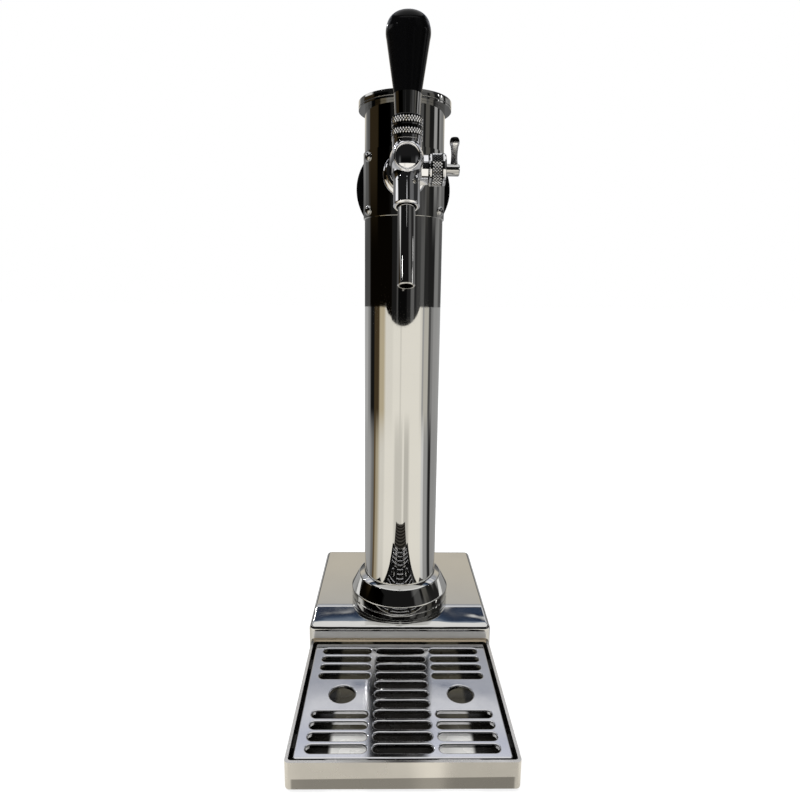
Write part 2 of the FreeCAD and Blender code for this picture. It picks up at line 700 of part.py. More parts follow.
def faucet_casting():
    """The tap's body before it is bored."""
    barrel = turned([(0, BODY_BACK), (BODY_THREAD_RADIUS, BODY_BACK), (BODY_THREAD_RADIUS, COUPLING_FRONT),
                     (BARREL_RADIUS, COUPLING_FRONT + 0.5), (BARREL_RADIUS, NOSE_START),
                     ((NOSE_RADIUS + 2.0, NOSE_START + 7.5), (NOSE_RADIUS, NOSE_END)), (0, NOSE_END)],
                    TAP_ORIGIN, FORWARD)
    neck_foot = TAP_Z - LEVER_PIVOT_Z
    neck = turned([(0, neck_foot), (NECK_RADIUS, neck_foot), (NECK_RADIUS, NECK_TOP),
                   (NECK_THREAD_RADIUS, NECK_TOP), (NECK_THREAD_RADIUS, NECK_THREAD_TOP),
                   (0, NECK_THREAD_TOP)], LEVER_PIVOT, UP)
    socket = turned([(0, 0), (SOCKET_ROOT_RADIUS, 0), (SOCKET_ROOT_RADIUS, SOCKET_ROOT),
                     ((SOCKET_RADIUS + SOCKET_FLARE, SOCKET_FLARE_AT), (SOCKET_RADIUS, SOCKET_WAIST)),
                     (SOCKET_RADIUS, SOCKET_MOUTH - SOCKET_LIP),
                     ((SOCKET_RADIUS - 0.5, SOCKET_MOUTH - 0.5), (SOCKET_RADIUS - SOCKET_LIP, SOCKET_MOUTH)),
                     (0, SOCKET_MOUTH)], SPOUT_ORIGIN, SPOUT_AXIS)
    branch = turned([(0, 0), (FLOW_NECK_RADIUS, 0), (FLOW_NECK_RADIUS, FLOW_NECK_END - 0.6),
                     (FLOW_NECK_RADIUS - 0.6, FLOW_NECK_END), (FLOW_NIPPLE_RADIUS, FLOW_NECK_END),
                     (FLOW_NIPPLE_RADIUS, FLOW_NIPPLE_END), (0, FLOW_NIPPLE_END)], FLOW_ORIGIN, X_AXIS)
    body = barrel.fuse(neck)
    body = body.makeFillet(NECK_FILLET, seam_edges(body))
    return body.fuse([socket, branch])


def faucet_body():
    body = faucet_casting()
    chamber = turned([(0, 0), (INLET_RADIUS, 0), (INLET_RADIUS, BODY_BACK), (CHAMBER_RADIUS, CHAMBER_START),
                      (CHAMBER_RADIUS, SEAT_START), (GUIDE_RADIUS, SEAT_END),
                      (GUIDE_RADIUS, FRONT_CAP_BACK - 0.2), (FRONT_CAP_THREAD, FRONT_CAP_BACK - 0.2),
                      (FRONT_CAP_THREAD, NOSE_END + 1), (0, NOSE_END + 1)], TAP_ORIGIN, FORWARD)
    ball_socket = cylinder(LEVER_BALL + 4 * FIT_GAP, LEVER_PIVOT + UP * SOCKET_BOTTOM, UP, LEVER_BALL * 3)
    swing = math.radians(LEVER_OPEN)
    slot_drop = LEVER_PIVOT_Z - TAP_Z - GUIDE_RADIUS
    slot_back = slot_drop * math.tan(swing) + LEVER_TONGUE / math.cos(swing) + 0.5
    lever_slot = box((-LEVER_TONGUE - 0.8, LEVER_PIVOT.y - LEVER_TONGUE - 0.8, TAP_Z),
                     (LEVER_TONGUE + 0.8, LEVER_PIVOT.y + slot_back, LEVER_PIVOT_Z + SOCKET_BOTTOM + 1))
    passage = cylinder(SPOUT_PASSAGE, spout_point(SPOUT_PASSAGE), SPOUT_AXIS, SOCKET_FLOOR)
    socket_bore = cylinder(SOCKET_BORE, spout_point(SOCKET_FLOOR), SPOUT_AXIS, SOCKET_MOUTH)
    counterbore = cylinder(SOCKET_COUNTERBORE, spout_point(SOCKET_COUNTERBORE_START), SPOUT_AXIS,
                           SOCKET_MOUTH)
    stem_bore = cylinder(FLOW_STEM_RADIUS + FIT_GAP, FLOW_ORIGIN, X_AXIS, REACH)
    seal_groove = cylinder(FLOW_SEAL_RADIUS, FLOW_ORIGIN + X_AXIS * FLOW_SEAL_START, X_AXIS,
                           FLOW_SEAL_END - FLOW_SEAL_START)
    direction = set_screw_direction()
    hole_start = spout_point(SET_SCREW_AT) + direction * SPOUT_RADIUS
    set_screw_hole = cylinder(SET_SCREW_RADIUS + FIT_GAP, hole_start, direction, REACH)
    return body.cut([chamber, ball_socket, lever_slot, passage, socket_bore, counterbore, stem_bore,
                     seal_groove, set_screw_hole])


def on_sphere(radius, side):
    """How far along its axis a sphere is a given distance out from that axis, from the sphere's centre."""
    return math.sqrt(radius * radius - side * side)


def front_cap():
    thread = FRONT_CAP_THREAD - FIT_GAP
    face = FRONT_CAP_FACE
    rim = FRONT_CAP_FACE_RADIUS
    dome_base = face - FRONT_CAP_DOME
    dome_middle = (rim / 2, dome_base + on_sphere(FRONT_CAP_DOME, rim / 2))
    outline = [(0, FRONT_CAP_BLIND), (GUIDE_RADIUS, FRONT_CAP_BLIND), (GUIDE_RADIUS, FRONT_CAP_BACK),
               (thread, FRONT_CAP_BACK), (thread, NOSE_END), (NOSE_RADIUS, NOSE_END),
               (NOSE_RADIUS, NOSE_END + 0.5), (NOSE_RADIUS - 0.7, FRONT_CAP_RING),
               (rim + 0.3, FRONT_CAP_RING), (rim, dome_base + on_sphere(FRONT_CAP_DOME, rim)),
               (dome_middle, (0, face))]
    return turned(outline, TAP_ORIGIN, FORWARD)


def on_arc(radius, angle):
    """A point of a half outline on a sphere about the pivot, counted from the lever's axis."""
    turn = math.radians(angle)
    return (radius * math.sin(turn), radius * math.cos(turn))


def lever_bonnet():
    thread = NECK_THREAD_RADIUS + FIT_GAP
    hollow = LEVER_BALL + 2 * FIT_GAP
    hollow_low = NECK_THREAD_TOP + FIT_GAP
    hollow_radius = math.sqrt(hollow * hollow - hollow_low * hollow_low)
    outline = [(thread, NECK_TOP), (BONNET_SKIRT_RADIUS, NECK_TOP), (BONNET_SKIRT_RADIUS, BONNET_SKIRT_TOP),
               (BONNET_RADIUS, BONNET_SKIRT_TOP), (BONNET_RADIUS, on_sphere(BONNET_DOME, BONNET_RADIUS)),
               (on_arc(BONNET_DOME, 30), (0, BONNET_DOME)), (0, hollow),
               (on_arc(hollow, 40), (hollow_radius, hollow_low)), (thread, hollow_low)]
    bonnet = turned(outline, LEVER_PIVOT, UP)
    slot = LEVER_STEM + 6 * FIT_GAP
    reach = BONNET_DOME * 1.5
    end_angle = math.radians(LEVER_OPEN + 1)
    tilted = FreeCAD.Vector(0, -math.sin(end_angle), math.cos(end_angle))
    corners = [LEVER_PIVOT, LEVER_PIVOT + UP * reach, LEVER_PIVOT + tilted * reach, LEVER_PIVOT]
    wedge = Part.Face(Part.makePolygon(corners)).extrude(X_AXIS * (2 * slot))
    wedge.translate(X_AXIS * -slot)
    slot_ends = [cylinder(slot, LEVER_PIVOT, direction, reach) for direction in (UP, tilted)]
    return bonnet.cut([wedge] + slot_ends)


def lever_collar():
    hole = LEVER_STEM + FIT_GAP
    chamfer = COLLAR_CHAMFER
    outline = [(hole, on_sphere(COLLAR_HOLLOW, hole)),
               (on_arc(COLLAR_HOLLOW, 40),
                (COLLAR_RIM_RADIUS, on_sphere(COLLAR_HOLLOW, COLLAR_RIM_RADIUS))),
               (COLLAR_RIM_RADIUS, COLLAR_RIM_TOP), (BONNET_RADIUS, COLLAR_RIM_TOP),
               (BONNET_RADIUS, COLLAR_TOP - chamfer), (BONNET_RADIUS - chamfer, COLLAR_TOP),
               (hole, COLLAR_TOP)]
    return turned(outline, LEVER_PIVOT, UP)


def handle_ferrule():
    hole = LEVER_STEM + FIT_GAP
    outline = [(hole, COLLAR_TOP), (FERRULE_LOW_RADIUS, COLLAR_TOP), (FERRULE_HIGH_RADIUS, FERRULE_TOP),
               (hole, FERRULE_TOP)]
    return turned(outline, LEVER_PIVOT, UP)


def tap_lever():
    ball = Part.makeSphere(LEVER_BALL, LEVER_PIVOT)
    stem = cylinder(LEVER_STEM, LEVER_PIVOT, UP, LEVER_TOP)
    tongue = cylinder(LEVER_TONGUE, LEVER_PIVOT, DOWN, LEVER_FINGER_DROP)
    finger = Part.makeSphere(LEVER_FINGER, LEVER_PIVOT + DOWN * LEVER_FINGER_DROP)
    return ball.fuse([stem, tongue, finger])


def handle_insert():
    hole = LEVER_STEM + FIT_GAP
    end = LEVER_TOP + 1
    outline = [(hole, FERRULE_TOP), (INSERT_RADIUS, FERRULE_TOP), (INSERT_RADIUS, INSERT_TOP),
               (0, INSERT_TOP), (0, end), (hole, end)]
    return turned(outline, LEVER_PIVOT, UP)


def tap_handle():
    hole = INSERT_RADIUS + FIT_GAP
    hole_top = INSERT_TOP + 0.5
    outline = [(hole, FERRULE_TOP), (FERRULE_HIGH_RADIUS, FERRULE_TOP),
               (HANDLE_TAPER_RADIUS, HANDLE_TAPER_TOP),
               ((HANDLE_RADIUS, HANDLE_WIDEST), (HANDLE_SHOULDER_RADIUS, HANDLE_SHOULDER)),
               ((HANDLE_CROWN_RADIUS, HANDLE_CROWN), (HANDLE_EDGE_RADIUS, HANDLE_EDGE)),
               (0, HANDLE_TOP), (0, hole_top), (hole, hole_top)]
    return turned(outline, LEVER_PIVOT, UP)


def shuttle():
    outline = [(0, SHUTTLE_HEAD_BACK), (SHUTTLE_HEAD_RADIUS, SHUTTLE_HEAD_BACK),
               (SHUTTLE_HEAD_RADIUS, SHUTTLE_HEAD_FRONT), (SHUTTLE_NECK_RADIUS, SHUTTLE_HEAD_FRONT),
               (SHUTTLE_NECK_RADIUS, SHUTTLE_BLOCK_BACK), (GUIDE_RADIUS - FIT_GAP, SHUTTLE_BLOCK_BACK),
               (GUIDE_RADIUS - FIT_GAP, SHUTTLE_BLOCK_FRONT), (0, SHUTTLE_BLOCK_FRONT)]
    body = turned(outline, TAP_ORIGIN, FORWARD)
    front = COLUMN_Y - SHUTTLE_BLOCK_FRONT - 1
    back = COLUMN_Y - SHUTTLE_BLOCK_BACK
    for side in (-1, 1):
        flat = box((0, front, TAP_Z - GUIDE_RADIUS), (GUIDE_RADIUS, back, TAP_Z + GUIDE_RADIUS))
        flat.translate(X_AXIS * (SHUTTLE_FLAT if side > 0 else -SHUTTLE_FLAT - GUIDE_RADIUS))
        body = body.cut(flat)
    notch = box((-NOTCH_HALF_WIDTH, LEVER_PIVOT.y - NOTCH_HALF_LENGTH, TAP_Z + NOTCH_FLOOR),
                (NOTCH_HALF_WIDTH, LEVER_PIVOT.y + NOTCH_HALF_LENGTH, TAP_Z + GUIDE_RADIUS + 1))
    relief = box((-NOTCH_HALF_WIDTH, LEVER_PIVOT.y - NOTCH_HALF_LENGTH - NOTCH_RELIEF,
                  TAP_Z + NOTCH_RELIEF_FLOOR), (NOTCH_HALF_WIDTH, LEVER_PIVOT.y, TAP_Z + GUIDE_RADIUS + 1))
    return body.cut([notch, relief])


def shuttle_seal():
    neck = SHUTTLE_NECK_RADIUS + FIT_GAP
    outline = [(neck, SHUTTLE_HEAD_FRONT), (SHUTTLE_SEAL_RADIUS, SHUTTLE_HEAD_FRONT),
               (SHUTTLE_SEAL_RADIUS, SEAT_START), (SHUTTLE_SEAL_TIP, SHUTTLE_SEAL_FRONT),
               (neck, SHUTTLE_SEAL_FRONT)]
    return turned(outline, TAP_ORIGIN, FORWARD)


def spout_tube():
    chamfer = SPOUT_END_CHAMFER
    outline = [(SPOUT_BORE, SOCKET_FLOOR), (SPOUT_RADIUS, SOCKET_FLOOR), (SPOUT_RADIUS, SPOUT_END - chamfer),
               (SPOUT_RADIUS - chamfer, SPOUT_END), (SPOUT_BORE, SPOUT_END)]
    return turned(outline, SPOUT_ORIGIN, SPOUT_AXIS)


def spout_seal():
    return tube(SOCKET_COUNTERBORE, SPOUT_RADIUS, spout_point(SOCKET_COUNTERBORE_START), SPOUT_AXIS,
                SPOUT_SEAL_THICKNESS)


def spout_set_screw():
    direction = set_screw_direction()
    start = spout_point(SET_SCREW_AT) + direction * (SOCKET_RADIUS + SET_SCREW_PROUD - SET_SCREW_DEPTH)
    length = SET_SCREW_DEPTH
    return turned([(0, 0), (SET_SCREW_RADIUS, 0), (SET_SCREW_RADIUS, length - 0.4),
                   (SET_SCREW_RADIUS - 0.4, length), (0, length)], start, direction)


def flow_bonnet():
    chamfer = FLOW_BONNET_CHAMFER
    start = FLOW_BONNET_START
    end = FLOW_BONNET_END
    stem = FLOW_STEM_RADIUS + SCREW_GAP
    thread = FLOW_NIPPLE_RADIUS + SCREW_GAP
    thread_end = FLOW_NIPPLE_END + SCREW_GAP
    pocket = FLOW_COLLAR_RADIUS + 3 * SCREW_GAP
    pocket_end = FLOW_COLLAR_END + 3 * SCREW_GAP
    outline = [(stem, end), (FLOW_BONNET_RADIUS - chamfer, end), (FLOW_BONNET_RADIUS, end - chamfer),
               (FLOW_BONNET_RADIUS, start + chamfer), (FLOW_BONNET_RADIUS - chamfer, start),
               (thread, start), (thread, thread_end), (pocket, thread_end), (pocket, pocket_end),
               (stem, pocket_end)]
    return turned(outline, FLOW_ORIGIN, X_AXIS)


def flow_stem():
    chamfer = FLOW_STEM_CHAMFER
    outline = [(0, FLOW_STEM_START), (FLOW_STEM_RADIUS, FLOW_STEM_START),
               (FLOW_STEM_RADIUS, FLOW_COLLAR_START), (FLOW_COLLAR_RADIUS, FLOW_COLLAR_START),
               (FLOW_COLLAR_RADIUS, FLOW_COLLAR_END), (FLOW_STEM_RADIUS, FLOW_COLLAR_END),
               (FLOW_STEM_RADIUS, FLOW_STEM_END - chamfer), (FLOW_STEM_RADIUS - chamfer, FLOW_STEM_END),
               (0, FLOW_STEM_END)]
    stem = turned(outline, FLOW_ORIGIN, X_AXIS)
    pin_start = FLOW_ORIGIN + X_AXIS * FLOW_PIN_TIP + DOWN * FLOW_PIN_OFFSET
    pin = cylinder(FLOW_PIN_RADIUS, pin_start, X_AXIS, FLOW_STEM_START - FLOW_PIN_TIP + 1)
    lever_hole = cylinder(FLOW_LEVER_PEG + FIT_GAP, FLOW_ORIGIN + X_AXIS * FLOW_LEVER_AT, UP, REACH)
    return stem.fuse(pin).cut(lever_hole)


def flow_lever():
    root = FLOW_LEVER_ROOT_RADIUS
    head = FLOW_LEVER_HEAD_RADIUS
    outline = [(0, 0), (FLOW_LEVER_PEG, 0), (FLOW_LEVER_PEG, FLOW_LEVER_ROOT),
               (root, FLOW_LEVER_ROOT + 0.2),
               ((FLOW_LEVER_WAIST_RADIUS, FLOW_LEVER_WAIST), (FLOW_LEVER_NECK_RADIUS, FLOW_LEVER_NECK)),
               (head, FLOW_LEVER_HEAD), (head, FLOW_LEVER_HEAD + 1.8),
               ((head - 0.4, FLOW_LEVER_TOP - 1.2), (FLOW_LEVER_CROWN_RADIUS, FLOW_LEVER_TOP)),
               (0, FLOW_LEVER_TOP)]
    lever = turned(outline, FLOW_ORIGIN + X_AXIS * FLOW_LEVER_AT, UP)
    return lever.cut(cylinder(FLOW_STEM_RADIUS, FLOW_ORIGIN, X_AXIS, REACH).cut(
        cylinder(FLOW_LEVER_PEG, FLOW_ORIGIN + X_AXIS * FLOW_LEVER_AT, UP, REACH)))


def flow_seal():
    start = FLOW_ORIGIN + X_AXIS * FLOW_SEAL_START
    return tube(FLOW_SEAL_RADIUS, FLOW_STEM_RADIUS + FIT_GAP, start, X_AXIS, FLOW_SEAL_END - FLOW_SEAL_START)


def compensator():
    groove_back = FLOW_U - COMPENSATOR_GROOVE
    groove_front = FLOW_U + COMPENSATOR_GROOVE
    front = groove_front + COMPENSATOR_FLANGE
    radius = COMPENSATOR_RADIUS
    outline = [(0, COMPENSATOR_BACK), (COMPENSATOR_TIP_RADIUS, COMPENSATOR_BACK), (radius, CHAMBER_START),
               (radius, groove_back), (COMPENSATOR_CORE, groove_back), (COMPENSATOR_CORE, groove_front),
               (radius, groove_front), (radius, front), (0, front)]
    return turned(outline, TAP_ORIGIN, FORWARD)


def tail_washer():
    start = TAP_ORIGIN + FORWARD * TAIL_WASHER_BACK
    return tube(TAIL_FLANGE_RADIUS, SHANK_BORE, start, FORWARD, SHANK_BACK - TAIL_WASHER_BACK)


def tail_nut():
    start = TAP_ORIGIN + FORWARD * TAIL_NUT_BACK
    nut = hexagon(TAIL_NUT_FLATS, start, FORWARD, TAIL_NUT_FRONT - TAIL_NUT_BACK)
    thread_start = TAP_ORIGIN + FORWARD * TAIL_FLANGE_BACK
    nut = nut.cut(cylinder(SHANK_RADIUS + FIT_GAP, thread_start, FORWARD, REACH))
    return nut.cut(cylinder(ELBOW_RADIUS + SCREW_GAP, start, FORWARD, REACH))


def tail_elbow():
    corner = FreeCAD.Vector(0, LINE_Y, TAP_Z)
    face = TAP_ORIGIN + FORWARD * TAIL_WASHER_BACK
    elbow = cylinder(ELBOW_RADIUS, face, BACKWARD, LINE_Y - COLUMN_Y)
    flange = cylinder(TAIL_FLANGE_RADIUS, face, BACKWARD, TAIL_WASHER_BACK - TAIL_FLANGE_BACK)
    drop = cylinder(LINE_RADIUS, corner, DOWN, TAP_Z - ELBOW_SHOULDER)
    barb = cylinder(BARB_RADIUS, corner, DOWN, TAP_Z - BARB_BOTTOM)
    elbow = elbow.fuse([Part.makeSphere(ELBOW_RADIUS, corner), flange, drop, barb])
    across = cylinder(BARB_BORE, face, BACKWARD, LINE_Y - COLUMN_Y)
    return elbow.cut([across, Part.makeSphere(BARB_BORE, corner), cylinder(BARB_BORE, corner, DOWN, REACH)])


def line_route():
    """The beer line's path: down the column, one bend, and back to the inlet."""
    bend_start = FreeCAD.Vector(0, LINE_Y, LINE_Z + LINE_BEND)
    bend_end = FreeCAD.Vector(0, LINE_Y + LINE_BEND, LINE_Z)
    centre = FreeCAD.Vector(0, LINE_Y + LINE_BEND, LINE_Z + LINE_BEND)
    outward = FreeCAD.Vector(0, -1, -1).normalize()
    edges = [Part.LineSegment(FreeCAD.Vector(0, LINE_Y, LINE_TOP), bend_start).toShape(),
             Part.Arc(bend_start, centre + outward * LINE_BEND, bend_end).toShape(),
             Part.LineSegment(bend_end, FreeCAD.Vector(0, LINE_END, LINE_Z)).toShape()]
    return Part.Wire(edges)


def swept_round(route, radius):
    """A round bar along a route that starts straight down."""
    start = FreeCAD.Vector(0, LINE_Y, LINE_TOP)
    ring = Part.Wire([Part.makeCircle(radius, start, DOWN)])
    return route.makePipeShell([ring], True, False)


def beer_line():
    route = line_route()
    hose = swept_round(route, LINE_RADIUS).cut(swept_round(route, LINE_BORE))
    expected = route.Length * math.pi * (LINE_RADIUS ** 2 - LINE_BORE ** 2)
    print("beer line: length", round(route.Length, 1), "bend radius", LINE_BEND,
          "volume ratio", round(hose.Volume / expected, 4))
    return hose


def hose_clamp():
    bottom = FreeCAD.Vector(0, LINE_Y, CLAMP_BOTTOM)
    outer = LINE_RADIUS + CLAMP_WALL
    ear = box((-CLAMP_EAR / 2, LINE_Y + LINE_RADIUS + CLAMP_WALL / 2, CLAMP_BOTTOM),
              (CLAMP_EAR / 2, LINE_Y + outer + CLAMP_EAR, CLAMP_BOTTOM + CLAMP_HEIGHT))
    return tube(outer, LINE_RADIUS, bottom, UP, CLAMP_HEIGHT).fuse(ear)


def inlet_fitting():
    inner_end = FreeCAD.Vector(0, INLET_INNER_END, LINE_Z)
    wall = FreeCAD.Vector(0, BOX_BACK, LINE_Z)
    body = cylinder(INLET_THREAD_RADIUS, inner_end, BACKWARD, INLET_HEX_END - INLET_INNER_END)
    collar = hexagon(INLET_HEX_FLATS, wall, BACKWARD, INLET_HEX_END - BOX_BACK)
    collet = cylinder(INLET_COLLET_RADIUS, wall, BACKWARD, INLET_END - BOX_BACK)
    inner_socket = cylinder(INLET_SOCKET_RADIUS, inner_end, BACKWARD, LINE_END - INLET_INNER_END)
    outer_start = FreeCAD.Vector(0, LINE_END + INLET_WEB, LINE_Z)
    outer_socket = cylinder(INLET_SOCKET_RADIUS, outer_start, BACKWARD, REACH)
    waterway = cylinder(LINE_BORE, inner_end, BACKWARD, REACH)
    return body.fuse([collar, collet]).cut([inner_socket, outer_socket, waterway])


def inlet_nut():
    start = FreeCAD.Vector(0, BOX_BACK - SHEET - INLET_NUT_HEIGHT, LINE_Z)
    nut = hexagon(INLET_NUT_FLATS, start, BACKWARD, INLET_NUT_HEIGHT)
    return nut.cut(cylinder(INLET_THREAD_RADIUS + SCREW_GAP, start, BACKWARD, INLET_NUT_HEIGHT))


def drip_tray():
    half = TRAY_WIDTH / 2
    outer = rounded_block((-half, TRAY_FRONT, TRAY_BOTTOM), (half, TRAY_BACK, TRAY_TOP),
                          TRAY_CORNER, TRAY_HEEL, TRAY_BOTTOM)
    floor = TRAY_BOTTOM + TRAY_SHEET
    hem_bottom = TRAY_TOP - TRAY_HEM
    pan = rounded_block((-half + TRAY_SHEET, TRAY_FRONT + TRAY_SHEET, floor),
                        (half - TRAY_SHEET, TRAY_BACK - TRAY_SHEET, hem_bottom),
                        TRAY_CORNER - TRAY_SHEET, TRAY_HEEL - TRAY_SHEET, floor)
    hem = 2 * TRAY_SHEET
    mouth = rounded_block((-half + hem, TRAY_FRONT + hem, hem_bottom - 1),
                          (half - hem, TRAY_BACK - hem, TRAY_TOP + 1), TRAY_CORNER - TRAY_SHEET)
    return outer.cut([pan, mouth])


def tray_pads():
    pads = []
    for side in (-1, 1):
        for y in (TRAY_FRONT + PAD_INSET, TRAY_BACK - PAD_INSET):
            centre = FreeCAD.Vector(side * (TRAY_WIDTH / 2 - PAD_INSET), y, 0)
            pads.append(cylinder(PAD_RADIUS, centre, UP, TRAY_BOTTOM))
    return Part.makeCompound(pads)


def grille_brackets():
    wall = TRAY_WIDTH / 2 - TRAY_SHEET
    top = GRILLE_TOP - GRILLE_LIP
    brackets = []
    for side in (-1, 1):
        for y in (GRILLE_FRONT + BRACKET_SETBACK, GRILLE_BACK - BRACKET_SETBACK):
            near = side * wall
            far = side * (wall - BRACKET_WIDTH)
            low = (min(near, far), y - BRACKET_LENGTH / 2, top - TRAY_SHEET)
            high = (max(near, far), y + BRACKET_LENGTH / 2, top)
            shelf = box(low, high)
            leg_edge = side * (wall - TRAY_SHEET)
            leg = box((min(near, leg_edge), low[1], top - BRACKET_WIDTH), (max(near, leg_edge), high[1], top))
            brackets.append(shelf.fuse(leg))
    return Part.makeCompound(brackets)


def slot_prism(x, y, radius, low, high):
    """An upright prism with the outline of a slot, whose round ends have the given radius."""
    reach = (SLOT_LENGTH - SLOT_WIDTH) / 2
    middle = box((x - reach, y - radius, low), (x + reach, y + radius, high))
    ends = [cylinder(radius, FreeCAD.Vector(x + side * reach, y, low), UP, high - low) for side in (-1, 1)]
    return middle.fuse(ends).removeSplitter()


def hole_prisms(wider, low, high):
    """The prisms of every slot and finger hole between two heights, each widened all round."""
    prisms = []
    middle_row = SLOT_ROWS // 2
    for row in range(SLOT_ROWS):
        y = SLOT_CENTRE_Y + (row - middle_row) * SLOT_PITCH
        prisms.append(slot_prism(0, y, SLOT_WIDTH / 2 + wider, low, high))
        for x in (-COLUMN_PITCH, COLUMN_PITCH):
            if abs(row - middle_row) > CLEAR_ROWS:
                prisms.append(slot_prism(x, y, SLOT_WIDTH / 2 + wider, low, high))
            elif row == middle_row:
                centre = FreeCAD.Vector(x, y, low)
                prisms.append(cylinder(FINGER_HOLE_RADIUS + wider, centre, UP, high - low))
    return prisms


def is_hole_rim(edge):
    """True for an edge of a slot or finger hole in the grille's top, and false for the grille's outline."""
    bounds = edge.BoundBox
    reach = COLUMN_PITCH + SLOT_LENGTH / 2 + FIT_GAP
    return lies_at(edge, GRILLE_TOP) and bounds.XMax < reach and bounds.XMin > -reach


def drip_grille():
    half = GRILLE_WIDTH / 2
    bottom = GRILLE_TOP - GRILLE_LIP
    underside_top = GRILLE_TOP - TRAY_SHEET
    plate = rounded_block((-half, GRILLE_FRONT, bottom), (half, GRILLE_BACK, GRILLE_TOP),
                          GRILLE_CORNER, GRILLE_EDGE, GRILLE_TOP)
    underside = rounded_block((-half + TRAY_SHEET, GRILLE_FRONT + TRAY_SHEET, bottom - 1),
                              (half - TRAY_SHEET, GRILLE_BACK - TRAY_SHEET, underside_top),
                              GRILLE_CORNER - TRAY_SHEET)
    plate = plate.cut(underside)
    collars = hole_prisms(TRAY_SHEET, GRILLE_TOP - SLOT_COLLAR, underside_top)
    plate = plate.fuse(collars).removeSplitter().cut(hole_prisms(0, bottom, GRILLE_TOP + 1))
    return plate.makeFillet(SLOT_ROLL, [edge for edge in plate.Edges if is_hole_rim(edge)])


PIECES = [base_box, base_feet, tower_flange, flange_screws, tower_tube, cap_gasket, top_cap, cap_seal,
          saddle_band, saddle_screws, medallion_housing, medallion_face, medallion_screws, shank_flange, shank,
          shank_saddle, shank_nut, coupling_nut, coupling_washer, faucet_body, front_cap, lever_bonnet,
          lever_collar, handle_ferrule, tap_lever, handle_insert, tap_handle, shuttle, shuttle_seal,
          spout_tube, spout_seal, spout_set_screw, flow_bonnet, flow_stem, flow_lever, flow_seal, compensator,
          tail_washer, tail_nut, tail_elbow, beer_line, hose_clamp, inlet_fitting, inlet_nut, drip_tray,
          tray_pads, grille_brackets, drip_grille]


def main():
    os.makedirs(OUTPUT_FOLDER, exist_ok=True)
    for make_piece in PIECES:
        save(make_piece.__name__, make_piece())


main()
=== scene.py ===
"""Looks of a table-top beer tower: polished column, pressed base box, drip tray with a slotted grille,
chrome flow-control tap with a black handle. Metres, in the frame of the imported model."""

import logging
import math
from collections.abc import Callable
from dataclasses import dataclass, fields
from enum import Enum

import bpy
from mathutils import Matrix, Vector


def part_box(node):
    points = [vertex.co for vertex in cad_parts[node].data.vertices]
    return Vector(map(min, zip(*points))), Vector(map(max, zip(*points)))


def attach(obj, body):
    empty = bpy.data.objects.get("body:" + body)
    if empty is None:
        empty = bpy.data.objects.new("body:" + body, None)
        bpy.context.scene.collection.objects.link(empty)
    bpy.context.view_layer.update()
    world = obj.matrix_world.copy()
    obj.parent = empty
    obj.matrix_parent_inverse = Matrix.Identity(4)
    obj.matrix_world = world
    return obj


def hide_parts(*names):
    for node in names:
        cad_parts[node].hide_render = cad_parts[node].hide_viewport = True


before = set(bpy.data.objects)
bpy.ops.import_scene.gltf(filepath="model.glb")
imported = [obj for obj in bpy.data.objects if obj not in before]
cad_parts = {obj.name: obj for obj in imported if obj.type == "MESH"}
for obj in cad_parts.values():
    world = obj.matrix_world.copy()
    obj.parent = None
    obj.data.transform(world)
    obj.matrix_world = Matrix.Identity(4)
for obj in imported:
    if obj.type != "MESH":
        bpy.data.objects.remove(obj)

LOG = logging.getLogger("beer_tower")
MM = 0.001
TINY = 0.000001
NEARLY = 0.98
Colour = tuple[float, float, float]
Point = tuple[float, float, float]
Paint = tuple[float, float, float, float]
Outline = list[tuple[float, float]]
Socket = bpy.types.NodeSocket
WHITE: Paint = (1.0, 1.0, 1.0, 1.0)
BLACK: Paint = (0.0, 0.0, 0.0, 1.0)

# Where most of a noise texture's values lie, and where its few highest ones do.
NOISE_RANGE = (0.3, 0.7)
SCRATCH_RANGE = (0.62, 0.75)
PATCH_DETAIL = 4.0
MARK_DETAIL = 2.0
SMOOTHEST = 0.005


class Slot(Enum):
    """Names of the record's material slots that the modelled pieces stand for."""

    CHROME = "chrome"
    STAINLESS = "stainless"


class Pick(Enum):
    """What edit mode picks: vertices, edges, faces."""

    VERTICES = (True, False, False)
    FACES = (False, False, True)


class Drive(Enum):
    """The shape of a screw's recess."""

    HEXAGON = 1.0
    STAR = 0.72


# ---------------------------------------------------------------------------------------------------------
# Finishes
# ---------------------------------------------------------------------------------------------------------


